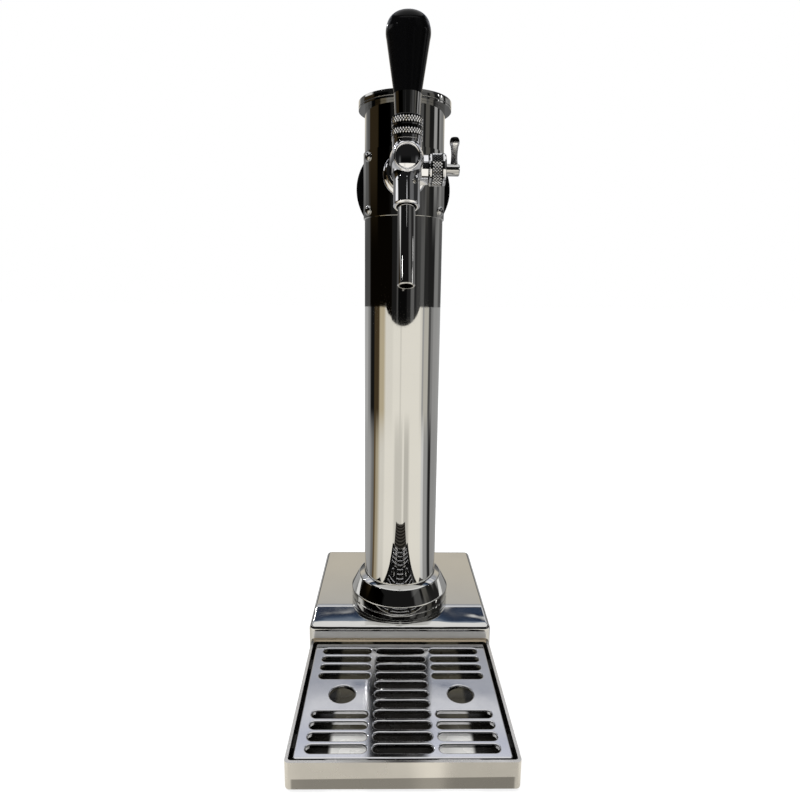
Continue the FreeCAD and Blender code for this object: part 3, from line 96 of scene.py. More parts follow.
class Graph:
    """A node tree with short calls to add and join nodes."""

    def __init__(self, tree: bpy.types.NodeTree) -> None:
        """Empties the tree.

        Args:
            tree: the material's or the world's node tree.
        """
        self.tree = tree
        tree.nodes.clear()

    def node(self, kind: str, inputs: dict | None = None, **settings: object) -> bpy.types.Node:
        """Adds a node.

        Args:
            kind: the node's type, without its ShaderNode prefix.
            inputs: a value, or a socket to link from, for each input that is set.
            settings: properties of the node.

        Returns:
            The new node.
        """
        new = self.tree.nodes.new("ShaderNode" + kind)
        for key, value in settings.items():
            setattr(new, key, value)
        for key, value in (inputs or {}).items():
            if isinstance(value, Socket):
                self.tree.links.new(value, new.inputs[key])
            else:
                new.inputs[key].default_value = value
        return new

    def maths(self, operation: str, *values: float | Socket) -> Socket:
        """Adds a Math node and returns its result."""
        return self.node("Math", dict(enumerate(values)), operation=operation).outputs[0]

    def plus(self, first: float | Socket, second: float | Socket) -> Socket:
        """Adds two numbers."""
        return self.maths("ADD", first, second)

    def minus(self, first: float | Socket, second: float | Socket) -> Socket:
        """Subtracts the second number from the first."""
        return self.maths("SUBTRACT", first, second)

    def times(self, first: float | Socket, *others: float | Socket) -> Socket:
        """Multiplies numbers."""
        for other in others:
            first = self.maths("MULTIPLY", first, other)
        return first

    def below(self, value: Socket, edge: float) -> Socket:
        """One where a value is under an edge, nought elsewhere."""
        return self.maths("LESS_THAN", value, edge)

    def above(self, value: Socket, edge: float) -> Socket:
        """One where a value is over an edge, nought elsewhere."""
        return self.maths("GREATER_THAN", value, edge)

    def size(self, value: Socket) -> Socket:
        """A value without its sign."""
        return self.maths("ABSOLUTE", value)

    def noise(self, place: Socket, scale: float, detail: float) -> Socket:
        """A noise texture's values."""
        return self.node("TexNoise", {"Vector": place, "Scale": scale, "Detail": detail}).outputs[0]

    def even(self, value: Socket, low: float, high: float, to_low: float = 0.0,
             to_high: float = 1.0) -> Socket:
        """Maps a range onto another, evenly, and returns the result."""
        return self.node("MapRange", {0: value, 1: low, 2: high, 3: to_low, 4: to_high}).outputs[0]

    def spread(self, value: Socket, low: float, high: float, to_low: float = 0.0,
               to_high: float = 1.0) -> Socket:
        """Maps a range onto another, smoothly, and returns the result."""
        return self.node("MapRange", {0: value, 1: low, 2: high, 3: to_low, 4: to_high},
                         interpolation_type="SMOOTHSTEP").outputs[0]

    def fall(self, value: Socket, low: float, high: float) -> Socket:
        """One under a range and nought over it, smoothly in between."""
        return self.spread(value, low, high, 1.0, 0.0)

    def ramp(self, factor: Socket, stops: list[tuple[float, Colour]]) -> Socket:
        """Adds a colour ramp.

        Args:
            factor: what drives the ramp, from 0 to 1.
            stops: each stop's place and colour, in order.

        Returns:
            The ramp's colour.
        """
        node = self.node("ValToRGB", {0: factor})
        elements = node.color_ramp.elements
        while len(elements) < len(stops):
            elements.new(1.0)
        for element, (place, colour) in zip(elements, stops):
            element.position = place
            element.color = (*colour, 1.0)
        return node.outputs[0]

    def mix(self, factor: Socket, first: Paint | Socket, second: Paint | Socket) -> Socket:
        """Mixes two colours and returns the result. A plain colour is given as four numbers."""
        return self.node("Mix", {0: factor, 6: first, 7: second}, data_type="RGBA").outputs[2]

    def blend(self, factor: Socket, first: float | Socket, second: float | Socket) -> Socket:
        """Mixes two numbers and returns the result."""
        return self.node("Mix", {0: factor, 2: first, 3: second}).outputs[0]

    def within(self, value: Socket, low: float, high: float) -> Socket:
        """One where a value lies in a range, nought elsewhere."""
        return self.times(self.above(value, low), self.below(value, high))

    def place(self) -> Socket:
        """The point on the object, in metres."""
        return self.node("TexCoord").outputs["Object"]

    def xyz(self) -> bpy.types.NodeOutputs:
        """The point's three coordinates."""
        return self.node("SeparateXYZ", {0: self.place()}).outputs

    def close(self, shader: bpy.types.Node, kind: str = "OutputMaterial") -> None:
        """Joins the last shader to the output."""
        output = self.node(kind)
        self.tree.links.new(shader.outputs[0], output.inputs[0])

    @staticmethod
    def of_material(name: str) -> tuple[bpy.types.Material, "Graph"]:
        """A new material and its empty graph."""
        material = bpy.data.materials.new(name)
        material.use_nodes = True
        return material, Graph(material.node_tree)


def scaled(colour: Colour, by: float = 1.0) -> Paint:
    """A colour made darker or lighter, with full alpha."""
    return (*(min(1.0, part * by) for part in colour), 1.0)


@dataclass(frozen=True)
class Finish:
    """A surface finish, built as a procedural material.

    Args:
        name: the material's name.
        colour: its colour.
        roughness: its mean roughness.
        metallic: 1 for bare or plated metal, 0 for plastic and rubber.
        haze: how far the roughness strays in soft patches, from handling and polishing.
        shade: how much darker the darkest patches are.
        patch: size of the patches, in metres.
        scuff: how much rougher the finest hair scratches are.
        grain: width of the finest marks, in metres.
        grain_depth: depth of those marks, in metres.
        brushed: how many times longer the marks are along X than across it.
        clear: share of light that passes through a translucent plastic.
        specular: specular level of a plastic.
    """

    name: str
    colour: Colour
    roughness: float
    metallic: float = 1.0
    haze: float = 0.02
    shade: float = 0.06
    patch: float = 0.03
    scuff: float = 0.0
    grain: float = 0.0006
    grain_depth: float = 0.0
    brushed: float = 1.0
    clear: float = 0.0
    specular: float = 0.5

    @classmethod
    def like(cls, base: "Finish", name: str, **changes: object) -> "Finish":
        """A finish of this kind that takes its values from another.

        Args:
            base: the other finish.
            name: the new finish's name.
            changes: the values that differ, and those that only this kind has.

        Returns:
            The new finish.
        """
        values = {field.name: getattr(base, field.name) for field in fields(base)}
        return cls(**(values | {"name": name} | changes))

    def height(self, graph: Graph, marks: Socket) -> Socket:
        """Relief of the surface, in metres, from its fine marks."""
        return graph.times(marks, self.grain_depth)

    def stain(self, graph: Graph, colour: Socket) -> Socket:
        """The colour with the stains and the painted light and shade of the piece over it. A plain finish
        has none.
        """
        return colour

    def metal(self, graph: Graph) -> float | Socket:
        """How metallic the surface is, as a number or a socket."""
        return self.metallic

    def dulled(self, graph: Graph, roughness: Socket) -> Socket:
        """The roughness, with the dull places of the piece. A plain finish has none."""
        return roughness

    def build(self) -> bpy.types.Material:
        """Makes the material."""
        material, graph = Graph.of_material(self.name)
        stretched = graph.node("Mapping", {0: graph.place(), 3: (1.0 / self.brushed, 1.0, 1.0)}).outputs[0]
        patches = graph.noise(graph.place(), 1.0 / self.patch, PATCH_DETAIL)
        marks = graph.noise(stretched, 1.0 / self.grain, MARK_DETAIL)
        haze = graph.even(patches, *NOISE_RANGE, max(SMOOTHEST, self.roughness - self.haze),
                          self.roughness + self.haze)
        scratch = graph.even(marks, *SCRATCH_RANGE, 0.0, self.scuff)
        colour = graph.mix(patches, scaled(self.colour), scaled(self.colour, 1.0 - self.shade))
        bump = graph.node("Bump", {"Height": self.height(graph, marks), "Distance": 1.0, "Strength": 1.0})
        roughness = self.dulled(graph, graph.plus(haze, scratch))
        shader = graph.node("BsdfPrincipled", {
            "Base Color": self.stain(graph, colour), "Roughness": roughness, "Metallic": self.metal(graph),
            "Transmission Weight": self.clear, "Specular IOR Level": self.specular,
            "Normal": bump.outputs[0]})
        graph.close(shader)
        return material


@dataclass(frozen=True)
class PressedSheet(Finish):
    """A polished sheet that the press bent down a little towards its front edge.

    Args:
        bends: where it starts to slope and where that slope is reached, along Y, in metres.
        slope: the slope between its two bends.
        edge: where it starts to slope more, and its front edge.
        edge_slope: how much more it slopes at the front edge.
        wave: how far the slope strays along the bend.
        face: where its front face is along Y.
        bend: height of the lower end of its rounded edge.
        skin: how far behind that face a point still counts as on it.
        film: how metallic the front face stays under a film of dried beer.
        dullness: roughness of that film.
        wave_scale: scale of the noise that the slope strays with.
    """

    bends: tuple[float, float] = (0.0310, 0.0240)
    slope: float = 0.156
    edge: tuple[float, float] = (-0.0015, -0.0100)
    edge_slope: float = 0.12
    wave: float = 0.05
    face: float = 0.0
    bend: float = 0.0
    skin: float = 0.0003
    film: float = 0.45
    dullness: float = 0.35
    wave_scale: float = 28.0

    def splashed(self, graph: Graph) -> Socket:
        """One on the front face behind the tray, nought elsewhere."""
        parts = graph.xyz()
        return graph.times(graph.below(parts[1], self.face + self.skin), graph.below(parts[2], self.bend))

    def metal(self, graph: Graph) -> Socket:
        """The front face has a dull film, the rest is bare metal."""
        return graph.blend(self.splashed(graph), self.metallic, self.film)

    def dulled(self, graph: Graph, roughness: Socket) -> Socket:
        """The front face is dull."""
        return graph.blend(self.splashed(graph), roughness, self.dullness)

    @staticmethod
    def bent(graph: Graph, along: Socket, start: float, end: float) -> Socket:
        """How far a sheet has dropped where its slope grows from nought to one between two places."""
        part = graph.even(along, start, end)
        curve = graph.times(graph.maths("POWER", part, 2.0), (start - end) / 2)
        return graph.plus(curve, graph.maths("MAXIMUM", graph.minus(end, along), 0.0))

    def height(self, graph: Graph, marks: Socket) -> Socket:
        """Relief of the sheet: fine marks, and the drop towards its edge."""
        along = graph.xyz()[1]
        waves = graph.noise(graph.place(), self.wave_scale, 1.0)
        stray = graph.even(waves, *NOISE_RANGE, 1.0 - self.wave, 1.0 + self.wave)
        first = graph.times(self.bent(graph, along, *self.bends), stray, -self.slope)
        second = graph.times(self.bent(graph, along, *self.edge), -self.edge_slope)
        return graph.plus(graph.times(marks, self.grain_depth), graph.plus(first, second))


@dataclass(frozen=True)
class PanSheet(Finish):
    """Satin sheet of a drip pan: dull inside, with painted shade inside, patches of painted light towards
    its front, and a band of painted shade low on its front face.

    Args:
        wall: half the pan's width, inside.
        front: the front wall's inner face along Y.
        back: the back wall's inner face.
        rim: height of the hem's top.
        hem: depth of the hem's inner face.
        hem_reach: where the back hem starts and ends along Y, from the back wall's inner face.
        washed: how far from the middle the floor's patches of painted light start and end.
        washed_blur: how soft their sides are.
        washed_front: how far from the front wall they turn from painted light to painted shade.
        splash: height of the band of painted shade along the front face.
        splash_blur: how soft its upper edge is.
        splash_tilt: how much that edge tilts.
        splash_ends: how far from the side walls the band fades out.
        film: how metallic the dried film inside is.
        floor_tone: colour of the pan's floor, painted shade under the grille.
        soiled_tone: colour of the patches towards the back, painted shade.
        clean_tone: colour of the patches at the front, painted light.
        foot_tone: colour of the band of painted shade.
        hem_tone: colour of the back hem.
    """

    wall: float = 0.0
    front: float = 0.0
    back: float = 0.0
    rim: float = 0.0
    hem: float = 0.0022
    hem_reach: tuple[float, float] = (-0.0035, 0.0012)
    washed: tuple[float, float] = (0.027, 0.058)
    washed_blur: float = 0.002
    washed_front: tuple[float, float] = (0.052, 0.060)
    # Painted shade: a darker band low on the front face.
    splash: float = 0.0125
    splash_blur: float = 0.0004
    splash_tilt: float = -0.010
    splash_ends: tuple[float, float] = (0.005, 0.003)
    film: float = 0.1
    # Painted shade inside the pan, with painted light on the patches near its front.
    floor_tone: Colour = (0.012, 0.011, 0.009)
    soiled_tone: Colour = (0.10, 0.09, 0.065)
    clean_tone: Colour = (0.96, 0.95, 0.92)
    foot_tone: Colour = (0.35, 0.335, 0.31)
    hem_tone: Colour = (0.66, 0.55, 0.40)

    def inside(self, graph: Graph) -> Socket:
        """One inside the pan and nought on its outer faces."""
        across, along, up = graph.xyz()
        return graph.times(graph.below(graph.size(across), self.wall),
                           graph.within(along, self.front, self.back), graph.below(up, self.rim))

    def back_hem(self, graph: Graph) -> Socket:
        """One on the inner face of the back hem, nought elsewhere."""
        parts = graph.xyz()
        start, end = (self.back + reach for reach in self.hem_reach)
        return graph.times(graph.within(parts[1], start, end), graph.above(parts[2], self.rim - self.hem))

    def metal(self, graph: Graph) -> Socket:
        """The dried film inside is dull, the outer faces are bare metal."""
        return graph.blend(self.inside(graph), self.metallic, self.film)

    def outer_band(self, graph: Graph) -> Socket:
        """One on the band of painted shade low on the front face, nought above it."""
        across, along, up = graph.xyz()
        slope = graph.plus(up, graph.times(across, self.splash_tilt))
        low = graph.fall(slope, self.splash - self.splash_blur, self.splash + self.splash_blur)
        ends = graph.fall(graph.size(across), *(self.wall - end for end in self.splash_ends))
        return graph.times(graph.below(along, self.front), low, ends)

    def stain(self, graph: Graph, colour: Socket) -> Socket:
        """Paints shade inside the pan with patches of painted light at its front, leaves the back hem tan,
        and paints a band of shade low on the front face.
        """
        parts = graph.xyz()
        # Painted shade on the pan's floor, with patches of painted light towards its front.
        aside = graph.size(parts[0])
        start, end = self.washed
        patch = graph.times(graph.spread(aside, start - self.washed_blur, start + self.washed_blur),
                            graph.fall(aside, end - self.washed_blur, end + self.washed_blur))
        ahead = graph.fall(parts[1], *(self.front + place for place in self.washed_front))
        washed = graph.mix(ahead, scaled(self.soiled_tone), scaled(self.clean_tone))
        floor = graph.mix(patch, scaled(self.floor_tone), washed)
        # Painted shade: a darker band low on the front face.
        outside = graph.mix(self.outer_band(graph), colour, scaled(self.foot_tone))
        pan = graph.mix(self.inside(graph), outside, floor)
        return graph.mix(self.back_hem(graph), pan, scaled(self.hem_tone))


@dataclass(frozen=True)
class TubeSteel(Finish):
    """Polished tube with painted shade on the underside of its rolled rim.

    Args:
        rim: height of the rim's underside.
        tone: tone of the ring of painted shade.
        ring: half its height.
    """

    rim: float = 0.0
    tone: float = 0.10
    ring: float = 0.0001

    def stain(self, graph: Graph, colour: Socket) -> Socket:
        """Paints shade on the underside of the rim."""
        across = graph.size(graph.minus(graph.xyz()[2], self.rim))
        # Painted shade: a thin dark ring on the underside of the rolled rim.
        return graph.mix(graph.below(across, self.ring), colour, scaled(self.colour, self.tone))


@dataclass(frozen=True)
class KnurledPlate(Finish):
    """Plate on a knurled ring, with painted shade and some dirt darkening the grooves between its diamonds.

    Args:
        across: the two coordinates that measure the distance from the ring's axis.
        centre: the axis's place in them.
        groove: radius at the bottom of the grooves.
        point: radius at the diamonds' points.
        dirt: tone of the grooves, painted shade with some dirt.
        fade: where the painted shade and dirt start to thin and end, as shares of their depth.
    """

    across: tuple[int, int] = (0, 1)
    centre: tuple[float, float] = (0.0, 0.0)
    groove: float = 0.0
    point: float = 0.0
    dirt: float = 0.03
    fade: tuple[float, float] = (0.10, 0.50)

    def stain(self, graph: Graph, colour: Socket) -> Socket:
        """Paints shade, with some dirt, into the grooves."""
        parts = graph.xyz()
        squares = [graph.maths("POWER", graph.minus(parts[index], middle), 2.0)
                   for index, middle in zip(self.across, self.centre)]
        radius = graph.maths("SQRT", graph.plus(*squares))
        depth = self.point - self.groove
        # Painted shade, with some dirt: the grooves darken towards their foot.
        tone = graph.spread(radius, *(self.groove + share * depth for share in self.fade), self.dirt, 1.0)
        return graph.mix(tone, BLACK, colour)


@dataclass(frozen=True)
class TippedLever(Finish):
    """Rubbed plate with a dark tip.

    Args:
        tip: height where the tip starts.
        blur: how soft its edge is.
        tip_tone: its colour.
    """

    tip: float = 0.0
    blur: float = 0.0003
    tip_tone: Colour = (0.02, 0.02, 0.02)

    def tipped(self, graph: Graph) -> Socket:
        """One on the tip, nought below it."""
        return graph.spread(graph.xyz()[2], self.tip - self.blur, self.tip + self.blur)

    def stain(self, graph: Graph, colour: Socket) -> Socket:
        """Darkens the tip."""
        return graph.mix(self.tipped(graph), colour, scaled(self.tip_tone))


MIRROR_STEEL = Finish("mirror_steel", (0.66, 0.655, 0.635), 0.028, haze=0.012, patch=0.05, scuff=0.03,
                      grain=0.0005, grain_depth=0.0000004, brushed=12.0)
GRILLE_STEEL = Finish("polished_grille_steel", (0.68, 0.68, 0.70), 0.09, haze=0.04, patch=0.025, scuff=0.06,
                      grain=0.0004, grain_depth=0.0000015, brushed=25.0)
SATIN_STEEL = Finish("satin_steel", (0.62, 0.60, 0.555), 0.24, haze=0.06, patch=0.02, shade=0.14,
                     grain=0.0004, grain_depth=0.000005, brushed=30.0)
CHROME = Finish("chrome_plate", (0.86, 0.86, 0.88), 0.025, haze=0.01, patch=0.02, scuff=0.03)
SMOKED_CHROME = Finish("smoked_chrome", (0.58, 0.575, 0.565), 0.03, haze=0.012, patch=0.02, scuff=0.03)
KNURLED_CHROME = Finish("knurled_chrome", (0.80, 0.80, 0.81), 0.08, haze=0.04, patch=0.004, shade=0.2)
RUBBED_PLATE = Finish("rubbed_plate", (0.92, 0.92, 0.93), 0.30, haze=0.06, patch=0.003)
SCREW_CHROME = Finish("screw_chrome", (0.50, 0.50, 0.50), 0.06, haze=0.03, patch=0.004)
SCREW_STEEL = Finish("screw_steel", (0.62, 0.61, 0.59), 0.10, haze=0.04, patch=0.004)
# Painted shade: the grille's brackets are near black so that the gap round the grille reads dark.
SHADE_BLACK_BRACKET_STEEL = Finish("stained_bracket_steel", (0.035, 0.033, 0.030), 0.45, metallic=0.3, haze=0.08,
                       patch=0.006)
BLACK_GLOSS = Finish("black_gloss_plastic", (0.0022, 0.0022, 0.0024), 0.11, metallic=0.0, haze=0.04,
                     patch=0.01, specular=0.10)
RUBBER = Finish("black_rubber", (0.02, 0.02, 0.021), 0.7, metallic=0.0, haze=0.08, patch=0.004,
                grain=0.0004, grain_depth=0.00002)
ACETAL = Finish("light_acetal", (0.56, 0.56, 0.54), 0.4, metallic=0.0, haze=0.06, patch=0.004)
LINE = Finish("clear_beer_line", (0.80, 0.80, 0.78), 0.25, metallic=0.0, haze=0.05, patch=0.01, clear=0.35)
BRASS = Finish("turned_brass", (0.75, 0.55, 0.24), 0.2, haze=0.05, patch=0.003)


def dress(finish: Finish, *names: str) -> None:
    """Gives solids a finish.

    Args:
        finish: the finish.
        names: the nodes that get it.
    """
    material = finish.build()
    for name in names:
        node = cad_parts[name]
        for index in range(len(node.data.materials)):
            node.data.materials[index] = material


# ---------------------------------------------------------------------------------------------------------
# Studio: camera, light, floor and the room that the metal mirrors
# ---------------------------------------------------------------------------------------------------------


class Tint(Enum):
    """The hues of the room."""

    NEUTRAL = (1.0, 1.0, 1.0)
    WARM = (1.0, 0.965, 0.88)
    TAN = (1.0, 0.86, 0.60)
    BROWN = (1.0, 0.70, 0.35)


@dataclass(frozen=True)
class Strip:
    """A strip of the room, as seen from the tower.

    Args:
        start: its left edge, in degrees from straight in front, positive to the right.
        end: its right edge.
        tone: how bright it is, 1 for white.
        tint: its hue.
    """

    start: float
    end: float
    tone: float
    tint: Tint = Tint.NEUTRAL

    def stops(self) -> list[tuple[float, Colour]]:
        """The ramp stops of its two edges."""
        colour = tuple(self.tone * part for part in self.tint.value)
        return [(self.start / 360 + 0.5, colour), (self.end / 360 + 0.5, colour)]


@dataclass
class Studio:
    """Camera, soft light, pale floor and the room that shows only in reflections."""

    eye: Point = (-0.0118, -0.53605, 0.36212)
    yaw: float = -0.996
    pitch: float = 10.237
    roll: float = -0.64
    lens: float = 25.770
    sensor: float = 36.0
    column: tuple[float, float] = (0.0, 0.05)
    wall_radius: float = 3.0
    wall_height: float = 5.5
    wall_sides: int = 180
    front_edge: float = 0.185
    front_edge_rise: float = 0.19
    front_half_angle: float = 64.0
    side_edge: float = 0.30
    floor_size: float = 40.0
    floor_depth: float = 0.0002
    mat: tuple[float, float] = (0.088, -0.315)
    mat_clearance: float = 0.22
    mat_rib: float = 0.012
    mat_tint: Colour = (1.0, 0.92, 0.78)
    rib_edges: tuple[float, float] = (0.3, 0.9)
    rib_tones: tuple[float, float] = (0.015, 0.10)
    contact_shade: float = 0.80
    contact_reach: float = 0.30
    floor_paint: float = 0.85
    floor_shade: float = 0.30
    floor_white: float = 0.80
    floor_mirrored: float = 1.08
    far_from: tuple[float, float] = (0.5, 1.8)
    soft_light: float = 0.75
    lamp_aim: Point = (0.0, 0.0, 0.3)
    glint_aim: Point = (0.0, 0.0, 0.45)
    glint_sides: int = 24
    room_changes: tuple[tuple[float, float], ...] = ((0.6, 1.3), (1.52, 1.58), (2.15, 2.25))
    back_foot: tuple[float, float] = (1.1, 1.4)
    back_widens: tuple[float, float] = (1.5, 1.9)
    back_low: tuple[float, float] = (2.45, 2.8)
    back_high: tuple[float, float] = (1.0, 2.2)
    ceiling_from: tuple[float, float] = (4.22, 4.36)

    upper_room: tuple[Strip, ...] = (
        Strip(-180, -140, 0.28), Strip(-137, -122, 0.14), Strip(-117, -84, 0.035, Tint.BROWN),
        Strip(-79, -44, 0.0), Strip(-38, 34, 0.012), Strip(38, 52, 0.10), Strip(55, 59, 0.01),
        Strip(61, 72, 0.12, Tint.WARM), Strip(75, 90, 0.015), Strip(93, 103, 0.45), Strip(107, 114, 0.015),
        Strip(117, 122, 0.34), Strip(132, 180, 0.24))
    lower_room: tuple[Strip, ...] = (
        Strip(-180, -118, 0.09), Strip(-108, -38, 0.003, Tint.BROWN), Strip(-35, -20, 0.015),
        Strip(-18, -16, 0.09), Strip(-14, 10, 0.004), Strip(12, 21, 0.02), Strip(24, 32, 0.16),
        Strip(34, 38, 0.025), Strip(42, 50, 0.07), Strip(54, 63, 0.14), Strip(66, 78, 0.03),
        Strip(81, 104, 0.02), Strip(109, 126, 0.28), Strip(136, 180, 0.12))
    high_room: tuple[Strip, ...] = (
        Strip(-180, -140, 0.28), Strip(-137, -118, 0.08), Strip(-113, -92, 1.0), Strip(-84, 30, 0.012),
        Strip(38, 68, 0.14), Strip(74, 126, 0.03), Strip(134, 180, 0.24))
    top_room: tuple[Strip, ...] = (
        Strip(-180, -140, 0.28), Strip(-137, 30, 0.012), Strip(38, 68, 0.14), Strip(74, 126, 0.03),
        Strip(134, 180, 0.24))
    back_tones: tuple[tuple[float, Colour], ...] = (
        (0.0, (0.68, 0.64, 0.56)), (1.48, (0.70, 0.65, 0.56)), (1.75, (0.62, 0.60, 0.56)),
        (2.00, (0.40, 0.41, 0.44)), (2.30, (0.55, 0.57, 0.62)), (2.34, (0.16, 0.19, 0.26)),
        (2.37, (0.16, 0.19, 0.26)), (2.40, (0.92, 0.92, 0.93)), (2.56, (0.82, 0.83, 0.86)),
        (2.74, (0.58, 0.61, 0.72)), (2.88, (0.90, 0.92, 1.0)), (3.20, (1.0, 1.0, 1.0)),
        (3.28, (0.02, 0.03, 0.06)), (3.62, (0.06, 0.09, 0.15)), (3.92, (0.30, 0.36, 0.45)),
        (4.06, (0.16, 0.20, 0.28)), (4.20, (1.0, 1.0, 1.0)))
    far_floor: tuple[Strip, ...] = (
        Strip(-180, -132, 0.48), Strip(-126, -113, 0.32), Strip(-107, -95, 0.01),
        Strip(-92, -76, 0.07, Tint.BROWN), Strip(-71, -58, 0.60, Tint.TAN), Strip(-50, -32, 0.92, Tint.WARM),
        Strip(-26, -8, 1.0, Tint.WARM), Strip(-6, -4, 0.82, Tint.WARM), Strip(-2, 52, 1.0, Tint.WARM),
        Strip(56, 60, 0.88, Tint.WARM), Strip(63, 66, 0.42), Strip(69, 84, 0.60, Tint.WARM),
        Strip(86, 93, 0.10), Strip(97, 103, 0.28), Strip(108, 180, 0.38))
    near_floor: tuple[Strip, ...] = (
        Strip(-180, -110, 0.42), Strip(-100, -96, 0.20), Strip(-92, -88, 0.14, Tint.BROWN),
        Strip(-84, -78, 0.48, Tint.TAN), Strip(-68, -56, 0.85, Tint.WARM), Strip(-50, -24, 1.0, Tint.WARM),
        Strip(-18, 1, 0.76, Tint.WARM), Strip(4, 7, 1.0, Tint.WARM), Strip(9, 20, 0.66, Tint.WARM),
        Strip(26, 60, 1.0, Tint.WARM), Strip(66, 70, 0.8), Strip(73, 86, 0.40), Strip(92, 101, 0.02),
        Strip(105, 180, 0.35))

    def camera(self) -> None:
        """Sets up the camera."""
        yaw, pitch, roll = (math.radians(angle) for angle in (self.yaw, self.pitch, self.roll))
        ahead = Vector((-math.sin(yaw) * math.cos(pitch), math.cos(yaw) * math.cos(pitch), -math.sin(pitch)))
        right = Vector((math.cos(yaw), math.sin(yaw), 0.0))
        down = ahead.cross(right)
        rolled_right = right * math.cos(roll) + down * math.sin(roll)
        rolled_down = down * math.cos(roll) - right * math.sin(roll)
        lens = bpy.data.cameras.new("studio_camera")
        lens.lens = self.lens
        lens.sensor_width = self.sensor
        lens.clip_start = 0.01
        camera = bpy.data.objects.new("studio_camera", lens)
        turn = Matrix((rolled_right, -rolled_down, -ahead)).transposed().to_4x4()
        camera.matrix_world = Matrix.Translation(Vector(self.eye)) @ turn
        bpy.context.scene.collection.objects.link(camera)
        bpy.context.scene.camera = camera

    def world(self) -> None:
        """White for the camera and in reflections, and soft white light for everything else."""
        world = bpy.data.worlds.new("studio_world")
        bpy.context.scene.world = world
        world.use_nodes = True
        graph = Graph(world.node_tree)
        path = graph.node("LightPath").outputs
        seen = graph.maths("MAXIMUM", path["Is Camera Ray"],
                           graph.maths("MAXIMUM", path["Is Glossy Ray"], path["Is Transmission Ray"]))
        soft = graph.node("Background", {"Color": WHITE, "Strength": self.soft_light})
        white = graph.node("Background", {"Color": WHITE, "Strength": 1.0})
        either = graph.node("MixShader", {0: seen, 1: soft.outputs[0], 2: white.outputs[0]})
        graph.close(either, "OutputWorld")

    def strips(self, graph: Graph, room: tuple[Strip, ...]) -> Socket:
        """The tones of the room round the column.

        Args:
            graph: the material's nodes.
            room: its strips, from the left of the back round the front to the right of the back.

        Returns:
            The tone in the direction of each point.
        """
        parts = graph.xyz()
        across = graph.minus(parts[0], self.column[0])
        ahead = graph.minus(self.column[1], parts[1])
        turn = graph.times(graph.maths("ARCTAN2", across, ahead), 0.5 / math.pi)
        stops = [stop for strip in room for stop in strip.stops()]
        return graph.ramp(graph.plus(turn, 0.5), stops)

    @staticmethod
    def hide(stage: bpy.types.Object) -> None:
        """Leaves a piece of the studio in mirror reflections only."""
        stage.visible_camera = False
        stage.visible_diffuse = False
        stage.visible_shadow = False
        stage.visible_transmission = False

    def lower_edge(self, aside: float) -> float:
        """Height of the walls' lower edge, so many degrees from straight in front."""
        if abs(aside) >= self.front_half_angle:
            return self.side_edge
        rise = 1.0 / math.cos(math.radians(aside)) - 1.0
        return min(self.side_edge, self.front_edge + self.front_edge_rise * rise)

    def wall_tone(self, graph: Graph) -> Socket:
        """The tone of the walls: strips that change with the height, and level bands behind."""
        height, back = graph.xyz()[2], graph.xyz()[1]
        front = self.strips(graph, self.lower_room)
        for change, room in zip(self.room_changes, (self.upper_room, self.high_room, self.top_room)):
            front = graph.mix(graph.spread(height, *change), front, self.strips(graph, room))
        far_back = graph.blend(graph.spread(height, *self.back_widens), graph.spread(back, *self.back_low),
                               graph.spread(back, *self.back_high))
        behind = graph.maths("MAXIMUM", far_back, graph.spread(height, *self.ceiling_from))
        stops = [(place / self.wall_height, tone) for place, tone in self.back_tones]
        bands = graph.ramp(graph.times(height, 1.0 / self.wall_height), stops)
        return graph.mix(graph.times(graph.spread(height, *self.back_foot), behind), front, bands)

    def walls(self) -> None:
        """A round room with a ceiling: dim in front, pale behind, with a blue band high up behind."""
        bpy.ops.mesh.primitive_cylinder_add(
            vertices=self.wall_sides, radius=self.wall_radius, depth=self.wall_height,
            location=(*self.column, self.wall_height / 2), end_fill_type="NGON")
        wall = bpy.context.object
        wall.name = "studio_walls"
        Bench.settle(wall)
        Bench.edit(Pick.FACES)
        Bench.choose_faces(wall, lambda face: face.normal.z < -0.5)
        bpy.ops.mesh.delete(type="ONLY_FACE")
        Bench.done()
        for vertex in wall.data.vertices:
            if vertex.co.z < self.wall_height / 2:
                across, ahead = vertex.co.x - self.column[0], self.column[1] - vertex.co.y
                vertex.co.z = self.lower_edge(math.degrees(math.atan2(across, ahead)))
        material, graph = Graph.of_material("studio_walls")
        graph.close(graph.node("Emission", {"Color": self.wall_tone(graph), "Strength": 1.0}))
        wall.data.materials.append(material)
        self.hide(wall)

    def mat_tone(self, graph: Graph, along: Socket) -> Socket:
        """The tone of the ribbed bar mat in front of the tower."""
        waves = graph.maths("SINE", graph.times(along, 2.0 * math.pi / self.mat_rib))
        return graph.mix(graph.spread(waves, *self.rib_edges, *self.rib_tones), BLACK, scaled(self.mat_tint))

    def floor_tone(self, graph: Graph, distance: Socket) -> Socket:
        """The tone of the floor in reflections.

        Args:
            graph: the floor's nodes.
            distance: how far the reflection reached.

        Returns:
            The tone, with the bar mat and a shade near the tower's own metal.
        """
        parts = graph.xyz()
        ahead = graph.minus(self.column[1], parts[1])
        square = graph.plus(graph.maths("POWER", parts[0], 2.0), graph.maths("POWER", ahead, 2.0))
        open_floor = graph.mix(graph.spread(square, *self.far_from), self.strips(graph, self.near_floor),
                               self.strips(graph, self.far_floor))
        on_mat = graph.times(graph.below(graph.size(parts[0]), self.mat[0]),
                             graph.within(parts[1], self.mat[1], self.column[1]),
                             graph.above(distance, self.mat_clearance))
        shade = graph.spread(distance, 0.0, self.contact_reach, self.contact_shade, 1.0)
        return graph.mix(on_mat, graph.mix(shade, BLACK, open_floor), self.mat_tone(graph, parts[1]))

